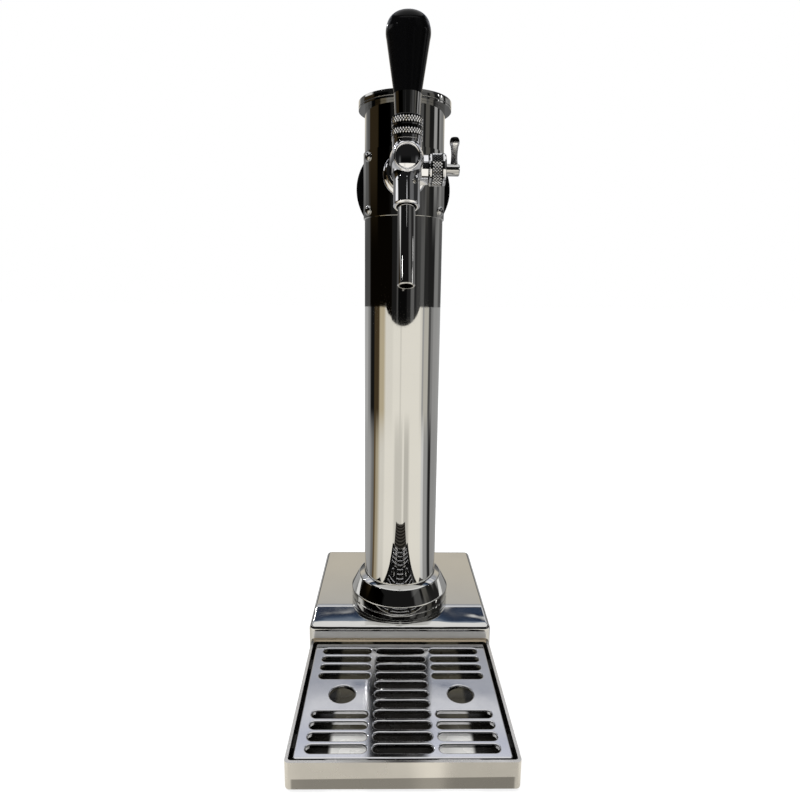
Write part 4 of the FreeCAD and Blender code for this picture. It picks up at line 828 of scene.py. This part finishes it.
    def floor(self) -> None:
        """A pale floor that keeps a soft shadow."""
        bpy.ops.mesh.primitive_plane_add(size=self.floor_size, location=(0.0, 0.0, -self.floor_depth))
        floor = bpy.context.object
        floor.name = "studio_floor"
        Bench.settle(floor)
        material, graph = Graph.of_material("studio_floor")
        path = graph.node("LightPath").outputs
        paint = graph.node("BsdfDiffuse", {"Color": scaled(Tint.NEUTRAL.value, self.floor_paint)})
        shade = graph.node("BsdfDiffuse", {"Color": scaled(Tint.NEUTRAL.value, self.floor_shade)})
        white = graph.node("Emission", {"Color": WHITE, "Strength": self.floor_white})
        seen = graph.node("AddShader", {0: shade.outputs[0], 1: white.outputs[0]})
        mirrored = graph.node("Emission", {"Color": self.floor_tone(graph, path["Ray Length"]),
                                           "Strength": self.floor_mirrored})
        first = graph.node("MixShader", {0: path["Is Camera Ray"], 1: paint.outputs[0], 2: seen.outputs[0]})
        graph.close(graph.node("MixShader", {0: path["Is Glossy Ray"], 1: first.outputs[0],
                                             2: mirrored.outputs[0]}))
        floor.data.materials.append(material)

    def lamp(self, name: str, place: Point, size: float, power: float) -> None:
        """A square soft box that faces the middle of the tower and stays out of its reflections.

        Args:
            name: the lamp's name.
            place: where it hangs.
            size: its side.
            power: its power, in watts.
        """
        light = bpy.data.lights.new(name, "AREA")
        light.size = size
        light.energy = power
        lamp = bpy.data.objects.new(name, light)
        lamp.location = place
        aim = Vector(self.lamp_aim) - Vector(place)
        lamp.rotation_euler = aim.to_track_quat("-Z", "Y").to_euler()
        lamp.visible_glossy = False
        bpy.context.scene.collection.objects.link(lamp)

    def glint(self, name: str, place: Point, size: float, strength: float) -> None:
        """A small bright disc that only glosses see, for the points of light on chrome and black plastic.

        Args:
            name: the disc's name.
            place: where it hangs.
            size: its radius.
            strength: how bright it is.
        """
        Bench.clear()
        bpy.ops.mesh.primitive_circle_add(vertices=self.glint_sides, radius=size, fill_type="NGON")
        disc = bpy.context.object
        disc.name = name
        disc.data.transform(Bench.aimed(place, tuple(Vector(self.glint_aim) - Vector(place))))
        material, graph = Graph.of_material(name)
        graph.close(graph.node("Emission", {"Color": WHITE, "Strength": strength}))
        disc.data.materials.append(material)
        self.hide(disc)

    def build(self) -> None:
        """Sets up the whole studio."""
        settings = bpy.context.scene.view_settings
        settings.view_transform = "Standard"
        self.camera()
        self.world()
        self.walls()
        self.floor()
        self.lamp("key_soft_box", (-1.1, -0.9, 1.9), 0.9, 22.0)
        self.lamp("top_soft_box", (0.2, 0.5, 2.2), 1.2, 20.0)
        self.glint("window_glint", (-1.20, 1.90, 1.80), 0.05, 60.0)
        self.glint("left_glint", (-1.6, -0.9, 1.5), 0.05, 12.0)
        self.glint("front_soft_disc", (0.06, -1.58, 2.04), 0.10, 0.7)
        self.glint("near_cap_glint", (2.69, -0.06, 1.44), 0.07, 4.0)
        self.glint("far_cap_glint", (2.66, 0.46, 1.44), 0.07, 4.0)


# ---------------------------------------------------------------------------------------------------------
# The modelling bench
# ---------------------------------------------------------------------------------------------------------


@dataclass(frozen=True)
class Knurl:
    """A knurled band round a turned ring.

    Args:
        radius: its radius at the diamonds' points.
        low: height of its lower edge.
        high: height of its upper edge.
        rows: number of rows of its grid.
        depth: how deep its grooves are, as a share of the radius.
    """

    radius: float
    low: float
    high: float
    rows: int = 4
    depth: float = 0.055

    @property
    def foot(self) -> float:
        """Radius at the diamonds' feet."""
        return self.radius * (1.0 - self.depth)

    def rings(self) -> Outline:
        """Its even rings, with its edges."""
        row = (self.high - self.low) / self.rows
        return [(self.foot, self.low + row * index) for index in range(self.rows + 1)]


class Bench:
    """Short calls to the modelling operators, which act on the piece in hand."""

    @staticmethod
    def clear() -> None:
        """Deselects every object."""
        bpy.ops.object.select_all(action="DESELECT")

    @staticmethod
    def settle(piece: bpy.types.Object) -> None:
        """Moves a piece's place into its mesh, with its object at the origin."""
        piece.data.transform(piece.matrix_world)
        piece.matrix_world = Matrix.Identity(4)

    @staticmethod
    def edit(pick: Pick = Pick.VERTICES) -> None:
        """Enters edit mode, to pick vertices or faces, with nothing picked."""
        bpy.context.tool_settings.mesh_select_mode = pick.value
        bpy.ops.object.mode_set(mode="EDIT")
        bpy.ops.mesh.select_all(action="DESELECT")

    @staticmethod
    def done() -> None:
        """Leaves edit mode."""
        bpy.ops.object.mode_set(mode="OBJECT")

    @staticmethod
    def choose_faces(piece: bpy.types.Object, wanted: Callable[[bpy.types.MeshPolygon], bool]) -> None:
        """Picks the faces that a test wants, in edit mode."""
        Bench.done()
        bpy.context.tool_settings.mesh_select_mode = Pick.FACES.value
        for part in (*piece.data.vertices, *piece.data.edges):
            part.select = False
        for face in piece.data.polygons:
            face.select = bool(wanted(face))
        bpy.ops.object.mode_set(mode="EDIT")

    @staticmethod
    def choose_vertices(piece: bpy.types.Object, wanted: Callable[[Vector], bool]) -> None:
        """Picks the vertices that a test wants by their places, in edit mode."""
        Bench.done()
        bpy.context.tool_settings.mesh_select_mode = Pick.VERTICES.value
        for part in (*piece.data.polygons, *piece.data.edges):
            part.select = False
        for vertex in piece.data.vertices:
            vertex.select = bool(wanted(vertex.co))
        bpy.ops.object.mode_set(mode="EDIT")

    @staticmethod
    def rounded(corners: list[tuple[float, float, float]], steps: int = 5) -> Outline:
        """An outline with some of its corners rounded.

        Args:
            corners: radius and height of each ring, and how far from it a rounding starts, 0 for none.
            steps: number of rings that a rounding adds.

        Returns:
            The outline with the rings of its roundings.
        """
        places = [Vector((radius, height)) for radius, height, _ in corners]
        rings = []
        for index, (radius, height, reach) in enumerate(corners):
            if not reach:
                rings.append((radius, height))
                continue
            corner, before, after = (places[(index + shift) % len(places)] for shift in (0, -1, 1))
            start = corner + (before - corner).normalized() * reach
            end = corner + (after - corner).normalized() * reach
            for step in range(steps + 1):
                part = step / steps
                rings.append(tuple(start.lerp(corner, part).lerp(corner.lerp(end, part), part)))
        return rings

    @staticmethod
    def rod(sides: int, radius: float, low: float, high: float) -> bpy.types.Object:
        """A cylinder that stands about Z between two heights."""
        Bench.clear()
        bpy.ops.mesh.primitive_cylinder_add(vertices=sides, radius=radius, depth=high - low,
                                            location=(0.0, 0.0, (low + high) / 2))
        piece = bpy.context.object
        Bench.settle(piece)
        return piece

    @staticmethod
    def turned(name: str, outline: Outline, sides: int, closed: bool = False) -> bpy.types.Object:
        """Raises a turned piece about Z from a ring, one extrusion for each step of its outline.

        Args:
            name: the piece's name.
            outline: radius and height of each ring, from first to last.
            sides: number of faces round it.
            closed: whether the last ring meets the first, as on a piece with a bore.

        Returns:
            The piece, with its ends filled where it isn't closed.
        """
        Bench.clear()
        radius, height = outline[0]
        bpy.ops.mesh.primitive_circle_add(vertices=sides, radius=radius, location=(0.0, 0.0, height),
                                          fill_type="NOTHING" if closed else "NGON")
        piece = bpy.context.object
        piece.name = name
        Bench.settle(piece)
        Bench.edit()
        bpy.ops.mesh.select_all(action="SELECT")
        steps = outline[1:] + ([outline[0]] if closed else [])
        for next_radius, next_height in steps:
            bpy.ops.mesh.extrude_region_move(
                TRANSFORM_OT_translate={"value": (0.0, 0.0, next_height - height)})
            growth = next_radius / radius
            bpy.ops.transform.resize(value=(growth, growth, 1.0), center_override=(0.0, 0.0, next_height))
            radius, height = next_radius, next_height
        bpy.ops.mesh.select_all(action="SELECT")
        bpy.ops.mesh.remove_doubles(threshold=TINY)
        bpy.ops.mesh.normals_make_consistent(inside=False)
        Bench.done()
        return piece

    @staticmethod
    def knurl(piece: bpy.types.Object, band: Knurl, sides: int) -> None:
        """Raises every second crossing of a band's grid, which leaves a field of small diamonds.

        Args:
            piece: a turned piece with the band's rings.
            band: the band.
            sides: number of faces round it.
        """
        row = (band.high - band.low) / band.rows
        step = 2.0 * math.pi / sides

        def raised(place: Vector) -> bool:
            """Whether a crossing is the point of a diamond."""
            level = round((place.z - band.low) / row)
            column = round(math.atan2(place.y, place.x) / step)
            inside = band.low + row / 2 < place.z < band.high - row / 2
            return inside and (level + column) % 2 == 0 and place.xy.length > band.foot * NEARLY

        Bench.edit()
        Bench.choose_vertices(piece, raised)
        growth = 1.0 + band.depth
        bpy.ops.transform.resize(value=(growth, growth, 1.0), center_override=(0.0, 0.0, 0.0))
        Bench.choose_faces(piece, lambda face: band.low < face.center.z < band.high and
                           face.center.xy.length > band.foot * NEARLY)
        bpy.ops.mesh.quads_convert_to_tris(quad_method="SHORTEST_DIAGONAL")
        Bench.done()

    @staticmethod
    def bore(piece: bpy.types.Object, cutter: bpy.types.Object) -> None:
        """Cuts one piece with another, which is used up."""
        Bench.clear()
        bpy.context.view_layer.objects.active = piece
        cut = piece.modifiers.new("cut", "BOOLEAN")
        cut.operation = "DIFFERENCE"
        cut.solver = "EXACT"
        cut.object = cutter
        bpy.ops.object.modifier_apply(modifier=cut.name)
        bpy.data.objects.remove(cutter)

    @staticmethod
    def recess(drive: Drive, across: float, low: float, high: float) -> bpy.types.Object:
        """A cutter for a screw's recess.

        Args:
            drive: its shape.
            across: its widest size.
            low: height of its floor.
            high: height above the screw's head.

        Returns:
            The cutter, which stands about Z.
        """
        points = 6 if drive is Drive.HEXAGON else 12
        cutter = Bench.rod(points, across / 2, low, high)
        if drive is Drive.STAR:
            step = 2.0 * math.pi / points
            Bench.edit()
            Bench.choose_vertices(cutter, lambda co: round(math.atan2(co.y, co.x) / step) % 2 == 0)
            bpy.ops.transform.resize(value=(drive.value, drive.value, 1.0), center_override=(0.0, 0.0, 0.0))
            Bench.done()
        return cutter

    @staticmethod
    def aimed(origin: Point, axis: Point) -> Matrix:
        """A matrix that takes the Z axis to an axis through a point."""
        turn = Vector(axis).to_track_quat("Z", "Y").to_matrix().to_4x4()
        return Matrix.Translation(Vector(origin)) @ turn

    @staticmethod
    def copies(piece: bpy.types.Object, name: str, places: list[Matrix]) -> bpy.types.Object:
        """Copies a piece, each copy with its own mesh, to each place and joins them.

        Args:
            piece: what is copied, which is used up.
            name: name of the joined piece.
            places: where the copies go.

        Returns:
            The joined piece.
        """
        made = []
        for place in places:
            copy = piece.copy()
            copy.data = piece.data.copy()
            copy.data.transform(place)
            bpy.context.scene.collection.objects.link(copy)
            made.append(copy)
        bpy.data.objects.remove(piece)
        Bench.clear()
        for copy in made:
            copy.select_set(True)
        bpy.context.view_layer.objects.active = made[0]
        if len(made) > 1:
            bpy.ops.object.join()
        joined = bpy.context.view_layer.objects.active
        joined.name = name
        return joined

    @staticmethod
    def hand_over(piece: bpy.types.Object, finish: Finish, slot: Slot, body: str, *nodes: str,
                  crease: float = 30.0) -> None:
        """Finishes a piece and puts it in the place of its solids.

        Args:
            piece: the finished mesh.
            finish: its finish.
            slot: the record's slot that it stands for; not used.
            body: the body that it moves with.
            nodes: the solids that it replaces.
            crease: edges sharper than this many degrees stay crisp.
        """
        Bench.clear()
        piece.select_set(True)
        bpy.context.view_layer.objects.active = piece
        bpy.ops.object.shade_smooth_by_angle(angle=math.radians(crease))
        piece.data.materials.clear()
        piece.data.materials.append(finish.build())
        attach(piece, body)
        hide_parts(*nodes)


# ---------------------------------------------------------------------------------------------------------
# The tower's sub-assemblies
# ---------------------------------------------------------------------------------------------------------


@dataclass
class Stand:
    """Base box, column, cap and saddle band, with the screws that hold them."""

    column: tuple[float, float] = (0.0, 0.05)
    band_radius: float = 39.3 * MM
    screw_heights: tuple[float, float] = (442.0 * MM, 490.0 * MM)
    screw_angles: tuple[float, float] = (-60.0, 60.0)
    head_radius: float = 4.6 * MM
    head_height: float = 3.0 * MM
    shank_radius: float = 1.8 * MM
    shank_depth: float = 6.0 * MM
    socket_across: float = 3.4 * MM
    socket_depth: float = 1.6 * MM
    head_foot: float = -0.8 * MM
    head_bevel: float = 0.3 * MM
    head_rim: float = 0.5 * MM
    dome_end: float = 82.0
    dome_steps: int = 7
    sides: int = 48
    round_sides: int = 192
    rim_height: float = 534.9 * MM
    box_edge: float = 4.4 * MM
    fit: float = 0.05 * MM
    column_radius: float = 38.1 * MM
    flange_foot: float = 37.2 * MM
    flange_radius: float = 52.0 * MM
    flange_side: float = 14.4 * MM
    flange_groove_at: float = 6.3 * MM
    groove: float = 0.6 * MM
    shoulder_radius: float = 44.0 * MM
    shoulder: float = 29.1 * MM
    flange_height: float = 31.0 * MM
    foot_edge: float = 0.3 * MM
    groove_edge: float = 0.2 * MM
    side_edge: float = 0.9 * MM
    shoulder_edge: float = 1.1 * MM
    cap_foot: float = 536.9 * MM
    cap_radius: float = 44.0 * MM
    cap_height: float = 5.5 * MM
    cap_edges: tuple[float, float] = (0.3 * MM, 0.4 * MM)
    spigot_edge: float = 0.5 * MM
    spigot_radius: float = 36.2 * MM
    spigot_wall: float = 2.2 * MM
    spigot_depth: float = 12.0 * MM
    seal_groove: tuple[float, float] = (-7.6 * MM, -5.0 * MM)
    seal_groove_depth: float = 1.3 * MM

    def flange(self) -> None:
        """The turned foot of the column, with a fine groove round its side and rounded edges."""
        radius, at, groove = self.flange_radius, self.flange_groove_at, self.groove
        bore = self.column_radius + self.fit
        outline = Bench.rounded([
            (bore, 0.0, 0.0), (radius, 0.0, self.foot_edge), (radius, at - groove, self.groove_edge),
            (radius - groove, at, 0.0), (radius, at + groove, self.groove_edge),
            (radius, self.flange_side, self.side_edge),
            (self.shoulder_radius, self.shoulder, self.shoulder_edge),
            (bore, self.flange_height, self.foot_edge)])
        flange = Bench.turned("turned_foot_flange", outline, self.round_sides, closed=True)
        flange.data.transform(Matrix.Translation((*self.column, self.flange_foot)))
        Bench.hand_over(flange, MIRROR_STEEL, Slot.STAINLESS, "stand", "tower_flange")

    def cap(self) -> None:
        """The lift-off cap: a thick disc with rounded edges, and a spigot with a groove for its seal."""
        low, high = self.seal_groove
        inner, spigot = self.spigot_radius - self.spigot_wall, self.spigot_radius
        in_groove = spigot - self.seal_groove_depth
        outline = Bench.rounded([
            (inner, self.spigot_wall, 0.0), (inner, -self.spigot_depth, 0.0),
            (spigot, -self.spigot_depth, self.spigot_edge), (spigot, low, 0.0), (in_groove, low, 0.0),
            (in_groove, high, 0.0), (spigot, high, 0.0), (spigot, 0.0, 0.0),
            (self.cap_radius, 0.0, self.cap_edges[0]), (self.cap_radius, self.cap_height, self.cap_edges[1]),
            (self.cap_radius / 2, self.cap_height, 0.0)])
        cap = Bench.turned("lift_off_cap", outline, self.round_sides)
        cap.data.transform(Matrix.Translation((*self.column, self.cap_foot)))
        Bench.hand_over(cap, MIRROR_STEEL, Slot.STAINLESS, "top_cap", "top_cap")

    def saddle_screws(self) -> None:
        """Four button-head screws with a hexagon recess, square to the band."""
        outline = [(self.shank_radius, -self.shank_depth), (self.shank_radius, self.head_foot),
                   (self.head_radius - self.head_bevel, self.head_foot),
                   (self.head_radius, self.head_foot + self.head_bevel), (self.head_radius, self.head_rim)]
        rise = self.head_height - self.head_rim
        for step in range(1, self.dome_steps + 1):
            turn = math.radians(self.dome_end) * step / self.dome_steps
            outline.append((self.head_radius * math.cos(turn), self.head_rim + rise * math.sin(turn)))
        screw = Bench.turned("saddle_screw", outline, self.sides)
        Bench.bore(screw, Bench.recess(Drive.HEXAGON, self.socket_across,
                                       self.head_height - self.socket_depth, self.head_height + MM))
        places = []
        for height in self.screw_heights:
            for angle in self.screw_angles:
                out = (math.sin(math.radians(angle)), -math.cos(math.radians(angle)), 0.0)
                start = (self.column[0] + out[0] * self.band_radius,
                         self.column[1] + out[1] * self.band_radius, height)
                places.append(Bench.aimed(start, out))
        screws = Bench.copies(screw, "saddle_button_screws", places)
        Bench.hand_over(screws, SCREW_CHROME, Slot.CHROME, "stand", "saddle_screws")

    def build(self) -> None:
        """Dresses the stand's solids and adds its screws."""
        box_low, box_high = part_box("base_box")
        sheet = PressedSheet("pressed_mirror_steel", MIRROR_STEEL.colour, 0.05, haze=0.03, patch=0.03,
                             scuff=0.05, grain=0.0004, grain_depth=0.0000008, brushed=16.0,
                             face=box_low[1], bend=box_high[2] - self.box_edge)
        dress(sheet, "base_box")
        dress(MIRROR_STEEL, "saddle_band")
        dress(TubeSteel.like(MIRROR_STEEL, "tube_steel", rim=self.rim_height), "tower_tube")
        dress(SCREW_STEEL, "flange_screws", "medallion_screws", "shank_saddle", "tail_elbow")
        dress(SATIN_STEEL, "hose_clamp")
        dress(BLACK_GLOSS, "medallion_housing", "medallion_face")
        dress(RUBBER, "base_feet", "cap_gasket", "cap_seal", "tail_washer")
        dress(ACETAL, "inlet_fitting", "inlet_nut")
        dress(LINE, "beer_line")
        self.flange()
        self.cap()
        self.saddle_screws()


@dataclass
class Tray:
    """Drip tray and slotted grille."""

    sheet: float = 1.2 * MM
    inner_share: float = 0.9
    rim_skin: float = 0.3 * MM
    pan_colour: Colour = (0.84, 0.81, 0.76)
    pan_roughness: float = 0.26

    def build(self) -> None:
        """Dresses the tray's solids."""
        low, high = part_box("drip_tray")
        wall = self.sheet * self.inner_share
        # The pan's finish paints shade inside it and low on its front face, with patches of painted light
        # near its front.
        pan = PanSheet.like(SATIN_STEEL, "stained_pan_steel", colour=self.pan_colour,
                            roughness=self.pan_roughness, wall=high[0] - wall, front=low[1] + wall,
                            back=high[1] - wall, rim=high[2] - self.rim_skin)
        dress(pan, "drip_tray")
        # The brackets' near-black colour is painted shade.
        dress(SHADE_BLACK_BRACKET_STEEL, "grille_brackets")
        dress(GRILLE_STEEL, "drip_grille")
        dress(RUBBER, "tray_pads")


@dataclass
class Tap:
    """Tap body, spout, lever with its two knurled rings and black handle, and the flow control."""

    pivot: Point = (0.0, -0.049, 0.486)
    bonnet_band: Knurl = Knurl(12.6 * MM, 1.4 * MM, 6.7 * MM)
    skirt_radius: float = 12.3 * MM
    skirt_low: float = -1.4 * MM
    skirt_top: float = 1.1 * MM
    bonnet_dome: float = 14.5 * MM
    bonnet_edge: float = 0.1 * MM
    bonnet_hollow: tuple[float, float] = (8.0 * MM, 4.0 * MM)
    bonnet_mouth: float = 5.2 * MM
    neck_hole: float = 9.7 * MM
    slot_radius: float = 4.5 * MM
    slot_reach: tuple[float, float] = (3.0 * MM, 20.0 * MM)
    slot_end: float = 31.0
    slot_cuts: int = 3
    slot_sides: int = 32
    arc_steps: int = 10
    collar_band: Knurl = Knurl(12.6 * MM, 9.8 * MM, 15.6 * MM)
    collar_rim_radius: float = 12.4 * MM
    collar_hollow: float = 15.0 * MM
    collar_rim_top: float = 9.4 * MM
    collar_top: float = 16.5 * MM
    collar_hole: float = 4.1 * MM
    chamfer: float = 0.5 * MM
    sides: int = 64
    crease: float = 12.0
    flow_origin: Point = (0.0, -0.022, 0.4685)
    flow_start: float = 19.3 * MM
    flow_end: float = 33.8 * MM
    flow_band: Knurl = Knurl(13.2 * MM, 21.6 * MM, 30.6 * MM, rows=7)
    flow_gap: float = 0.3 * MM
    flow_edge: float = 0.8 * MM
    flow_bevel: float = 0.6
    flow_shelf: tuple[float, float] = (3.0 * MM, 6.0 * MM)
    flow_hole: float = 5.1 * MM
    flow_thread: float = 10.1 * MM
    lever_tip: float = 490.6 * MM
    tap_origin: Point = (0.0, 0.05, 0.4705)
    nose_end: float = 111.0 * MM
    nose_radius: float = 10.9 * MM
    ring_front: float = 113.0 * MM
    disc_radius: float = 8.8 * MM
    disc_dome: float = 36.0 * MM
    disc_front: float = 112.9 * MM
    disc_edge: float = 0.1 * MM
    disc_steps: int = 15
    nose_lap: tuple[float, float] = (2.0 * MM, 0.3 * MM)
    nose_band: float = 0.5 * MM
    ring_round: float = 1.2 * MM
    ring_steps: int = 8
    moat: float = 0.3 * MM
    moat_floor: tuple[float, float] = (0.2 * MM, -0.05 * MM)
    moat_depth: float = 2.6 * MM
    nose_sides: int = 96
    set_screw_angle: float = 34.0
    set_screw_at: float = 22.6 * MM
    set_screw_radius: float = 2.0 * MM
    set_screw_depth: float = 3.4 * MM
    set_screw_proud: float = 0.4 * MM
    set_screw_point: float = 0.7
    set_screw_taper: float = 0.6 * MM
    set_screw_bevel: tuple[float, float] = (0.35 * MM, 0.4 * MM)
    set_screw_sides: int = 36
    star_across: float = 2.5 * MM
    star_depth: float = 1.5 * MM
    socket_radius: float = 10.75 * MM
    spout_origin: Point = (0.0, -0.045, 0.4705)
    spout_lean: float = 19.0

    def arc(self, radius: float, start: float, end: float) -> Outline:
        """Rings on a ball about the pivot, from one radius off the axis to another."""
        outs = (start + (end - start) * step / self.arc_steps for step in range(self.arc_steps + 1))
        return [(out, math.sqrt(radius * radius - out * out)) for out in outs]

    @staticmethod
    def knurled(name: str, band: Knurl, across: tuple[int, int], centre: tuple[float, float]) -> Finish:
        """The finish of a knurled ring.

        Args:
            name: the material's name.
            band: the ring's knurled band.
            across: the coordinates across its axis.
            centre: the axis's place in them.

        Returns:
            The finish.
        """
        return KnurledPlate.like(KNURLED_CHROME, name, across=across, centre=centre, groove=band.foot,
                                 point=band.radius)

    def cut_slot(self, bonnet: bpy.types.Object) -> None:
        """Cuts the slot that the lever swings along, one tilted bore after another."""
        for index in range(1, self.slot_cuts + 1):
            cutter = Bench.rod(self.slot_sides, self.slot_radius, *self.slot_reach)
            turn = math.radians(self.slot_end * index / self.slot_cuts)
            cutter.data.transform(Matrix.Rotation(turn, 4, "X"))
            Bench.bore(bonnet, cutter)

    def lever_bonnet(self) -> None:
        """The lower ring: a plain skirt, a knurled band and a domed top with the lever's slot."""
        band = self.bonnet_band
        outline = [(self.neck_hole, self.skirt_low), (self.skirt_radius, self.skirt_low),
                   (self.skirt_radius, self.skirt_top), (band.foot, self.skirt_top), *band.rings(),
                   *self.arc(self.bonnet_dome, band.foot - self.bonnet_edge, self.bonnet_mouth),
                   (self.bonnet_mouth, self.bonnet_hollow[0]), (self.neck_hole, self.bonnet_hollow[1])]
        bonnet = Bench.turned("knurled_lever_bonnet", outline, self.sides, closed=True)
        Bench.knurl(bonnet, band, self.sides)
        self.cut_slot(bonnet)
        bonnet.data.transform(Matrix.Translation(Vector(self.pivot)))
        finish = self.knurled("knurled_bonnet_plate", band, (0, 1), self.pivot[:2])
        Bench.hand_over(bonnet, finish, Slot.CHROME, "stand", "lever_bonnet", crease=self.crease)

    def lever_collar(self) -> None:
        """The upper ring, which moves with the lever: a bright rim below a knurled band."""
        band = self.collar_band
        outline = [*self.arc(self.collar_hollow, self.collar_hole, self.collar_rim_radius),
                   (self.collar_rim_radius, self.collar_rim_top), (band.foot, self.collar_rim_top),
                   *band.rings(), (band.foot, self.collar_top - self.chamfer),
                   (band.foot - self.chamfer, self.collar_top), (self.collar_hole, self.collar_top)]
        collar = Bench.turned("knurled_lever_collar", outline, self.sides, closed=True)
        Bench.knurl(collar, band, self.sides)
        collar.data.transform(Matrix.Translation(Vector(self.pivot)))
        finish = self.knurled("knurled_collar_plate", band, (0, 1), self.pivot[:2])
        Bench.hand_over(collar, finish, Slot.CHROME, "tap_lever", "lever_collar", crease=self.crease)

    def flow_bonnet(self) -> None:
        """The flow control's ring, knurled between two smooth rims."""
        band, rim, edge, end = self.flow_band, self.flow_band.radius, self.flow_edge, self.flow_end
        low, high, bevel = band.low - self.flow_gap, band.high + self.flow_gap, self.flow_bevel * edge
        outline = [(self.flow_thread, self.flow_start), (rim - edge, self.flow_start),
                   (rim, self.flow_start + edge), (rim, low), (band.foot, low), *band.rings(),
                   (band.foot, high), (rim, high), (rim, end - 2 * edge), (rim - bevel, end - bevel),
                   (rim - 2 * edge, end), (self.flow_hole, end), (self.flow_hole, end - self.flow_shelf[0]),
                   (self.flow_thread, end - self.flow_shelf[1])]
        ring = Bench.turned("knurled_flow_bonnet", outline, self.sides, closed=True)
        Bench.knurl(ring, band, self.sides)
        ring.data.transform(Bench.aimed(self.flow_origin, (1.0, 0.0, 0.0)))
        finish = self.knurled("knurled_flow_plate", band, (1, 2), self.flow_origin[1:])
        Bench.hand_over(ring, finish, Slot.CHROME, "stand", "flow_bonnet", crease=self.crease)

    def front_cap(self) -> None:
        """The barrel's cap: a bright rounded ring, a thin dark groove and a domed disc."""
        nose, disc, rounding = self.nose_radius, self.disc_radius, self.ring_round
        middle, half = (nose + disc + self.moat) / 2, (nose - disc - self.moat) / 2
        outline = [(nose - self.nose_lap[0], self.nose_end - self.nose_lap[1]), (nose, self.nose_end),
                   (nose, self.nose_end + self.nose_band)]
        for step in range(self.ring_steps + 1):
            turn = math.pi * step / self.ring_steps
            outline.append((middle + half * math.cos(turn),
                            self.ring_front - rounding + rounding * math.sin(turn)))
        outline += [(disc + out, self.disc_front - self.moat_depth) for out in self.moat_floor]
        for step in range(self.disc_steps):
            out = (disc - self.disc_edge) * (1.0 - step / (self.disc_steps - 0.5))
            drop = self.disc_dome - math.sqrt(self.disc_dome ** 2 - out ** 2)
            outline.append((out, self.disc_front - drop))
        cap = Bench.turned("tap_front_cap", outline, self.nose_sides)
        cap.data.transform(Bench.aimed(self.tap_origin, (0.0, -1.0, 0.0)))
        Bench.hand_over(cap, CHROME, Slot.CHROME, "stand", "front_cap")

    def set_screw(self) -> None:
        """The small screw of the spout's socket, with a star recess."""
        lean, turn = math.radians(self.spout_lean), math.radians(self.set_screw_angle)
        along = Vector((0.0, -math.sin(lean), -math.cos(lean)))
        front = Vector((0.0, -math.cos(lean), math.sin(lean)))
        out = (front * math.cos(turn) + Vector((1.0, 0.0, 0.0)) * math.sin(turn)).normalized()
        radius, top = self.set_screw_radius, self.set_screw_proud
        foot, bevel = top - self.set_screw_depth, self.set_screw_bevel
        outline = [(radius * self.set_screw_point, foot), (radius, foot + self.set_screw_taper),
                   (radius, top - bevel[1]), (radius - bevel[0], top)]
        screw = Bench.turned("set_screw", outline, self.set_screw_sides)
        Bench.bore(screw, Bench.recess(Drive.STAR, self.star_across, top - self.star_depth, top + MM))
        start = Vector(self.spout_origin) + along * self.set_screw_at + out * self.socket_radius
        screw = Bench.copies(screw, "star_set_screw", [Bench.aimed(tuple(start), tuple(out))])
        Bench.hand_over(screw, SCREW_STEEL, Slot.STAINLESS, "stand", "spout_set_screw")

    def build(self) -> None:
        """Dresses the tap's solids and adds its knurled rings and screw."""
        dress(CHROME, "shank_flange", "shank", "shank_nut", "coupling_nut", "faucet_body", "tail_nut")
        dress(SMOKED_CHROME, "handle_ferrule", "spout_tube", "flow_stem")
        dress(TippedLever.like(RUBBED_PLATE, "rubbed_lever_plate", tip=self.lever_tip), "flow_lever")
        dress(SCREW_STEEL, "tap_lever", "shuttle")
        dress(BLACK_GLOSS, "tap_handle")
        dress(RUBBER, "coupling_washer", "shuttle_seal", "spout_seal", "flow_seal")
        dress(ACETAL, "compensator")
        dress(BRASS, "handle_insert")
        self.lever_bonnet()
        self.lever_collar()
        self.flow_bonnet()
        self.front_cap()
        self.set_screw()


def main() -> None:
    """Builds the studio and dresses the tower."""
    logging.basicConfig(level=logging.INFO, format="%(name)s: %(message)s")
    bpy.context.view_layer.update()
    for name, part in (("studio", Studio()), ("stand", Stand()), ("tray", Tray()), ("tap", Tap())):
        LOG.info("building %s", name)
        part.build()


if __name__ == "__main__":
    main()
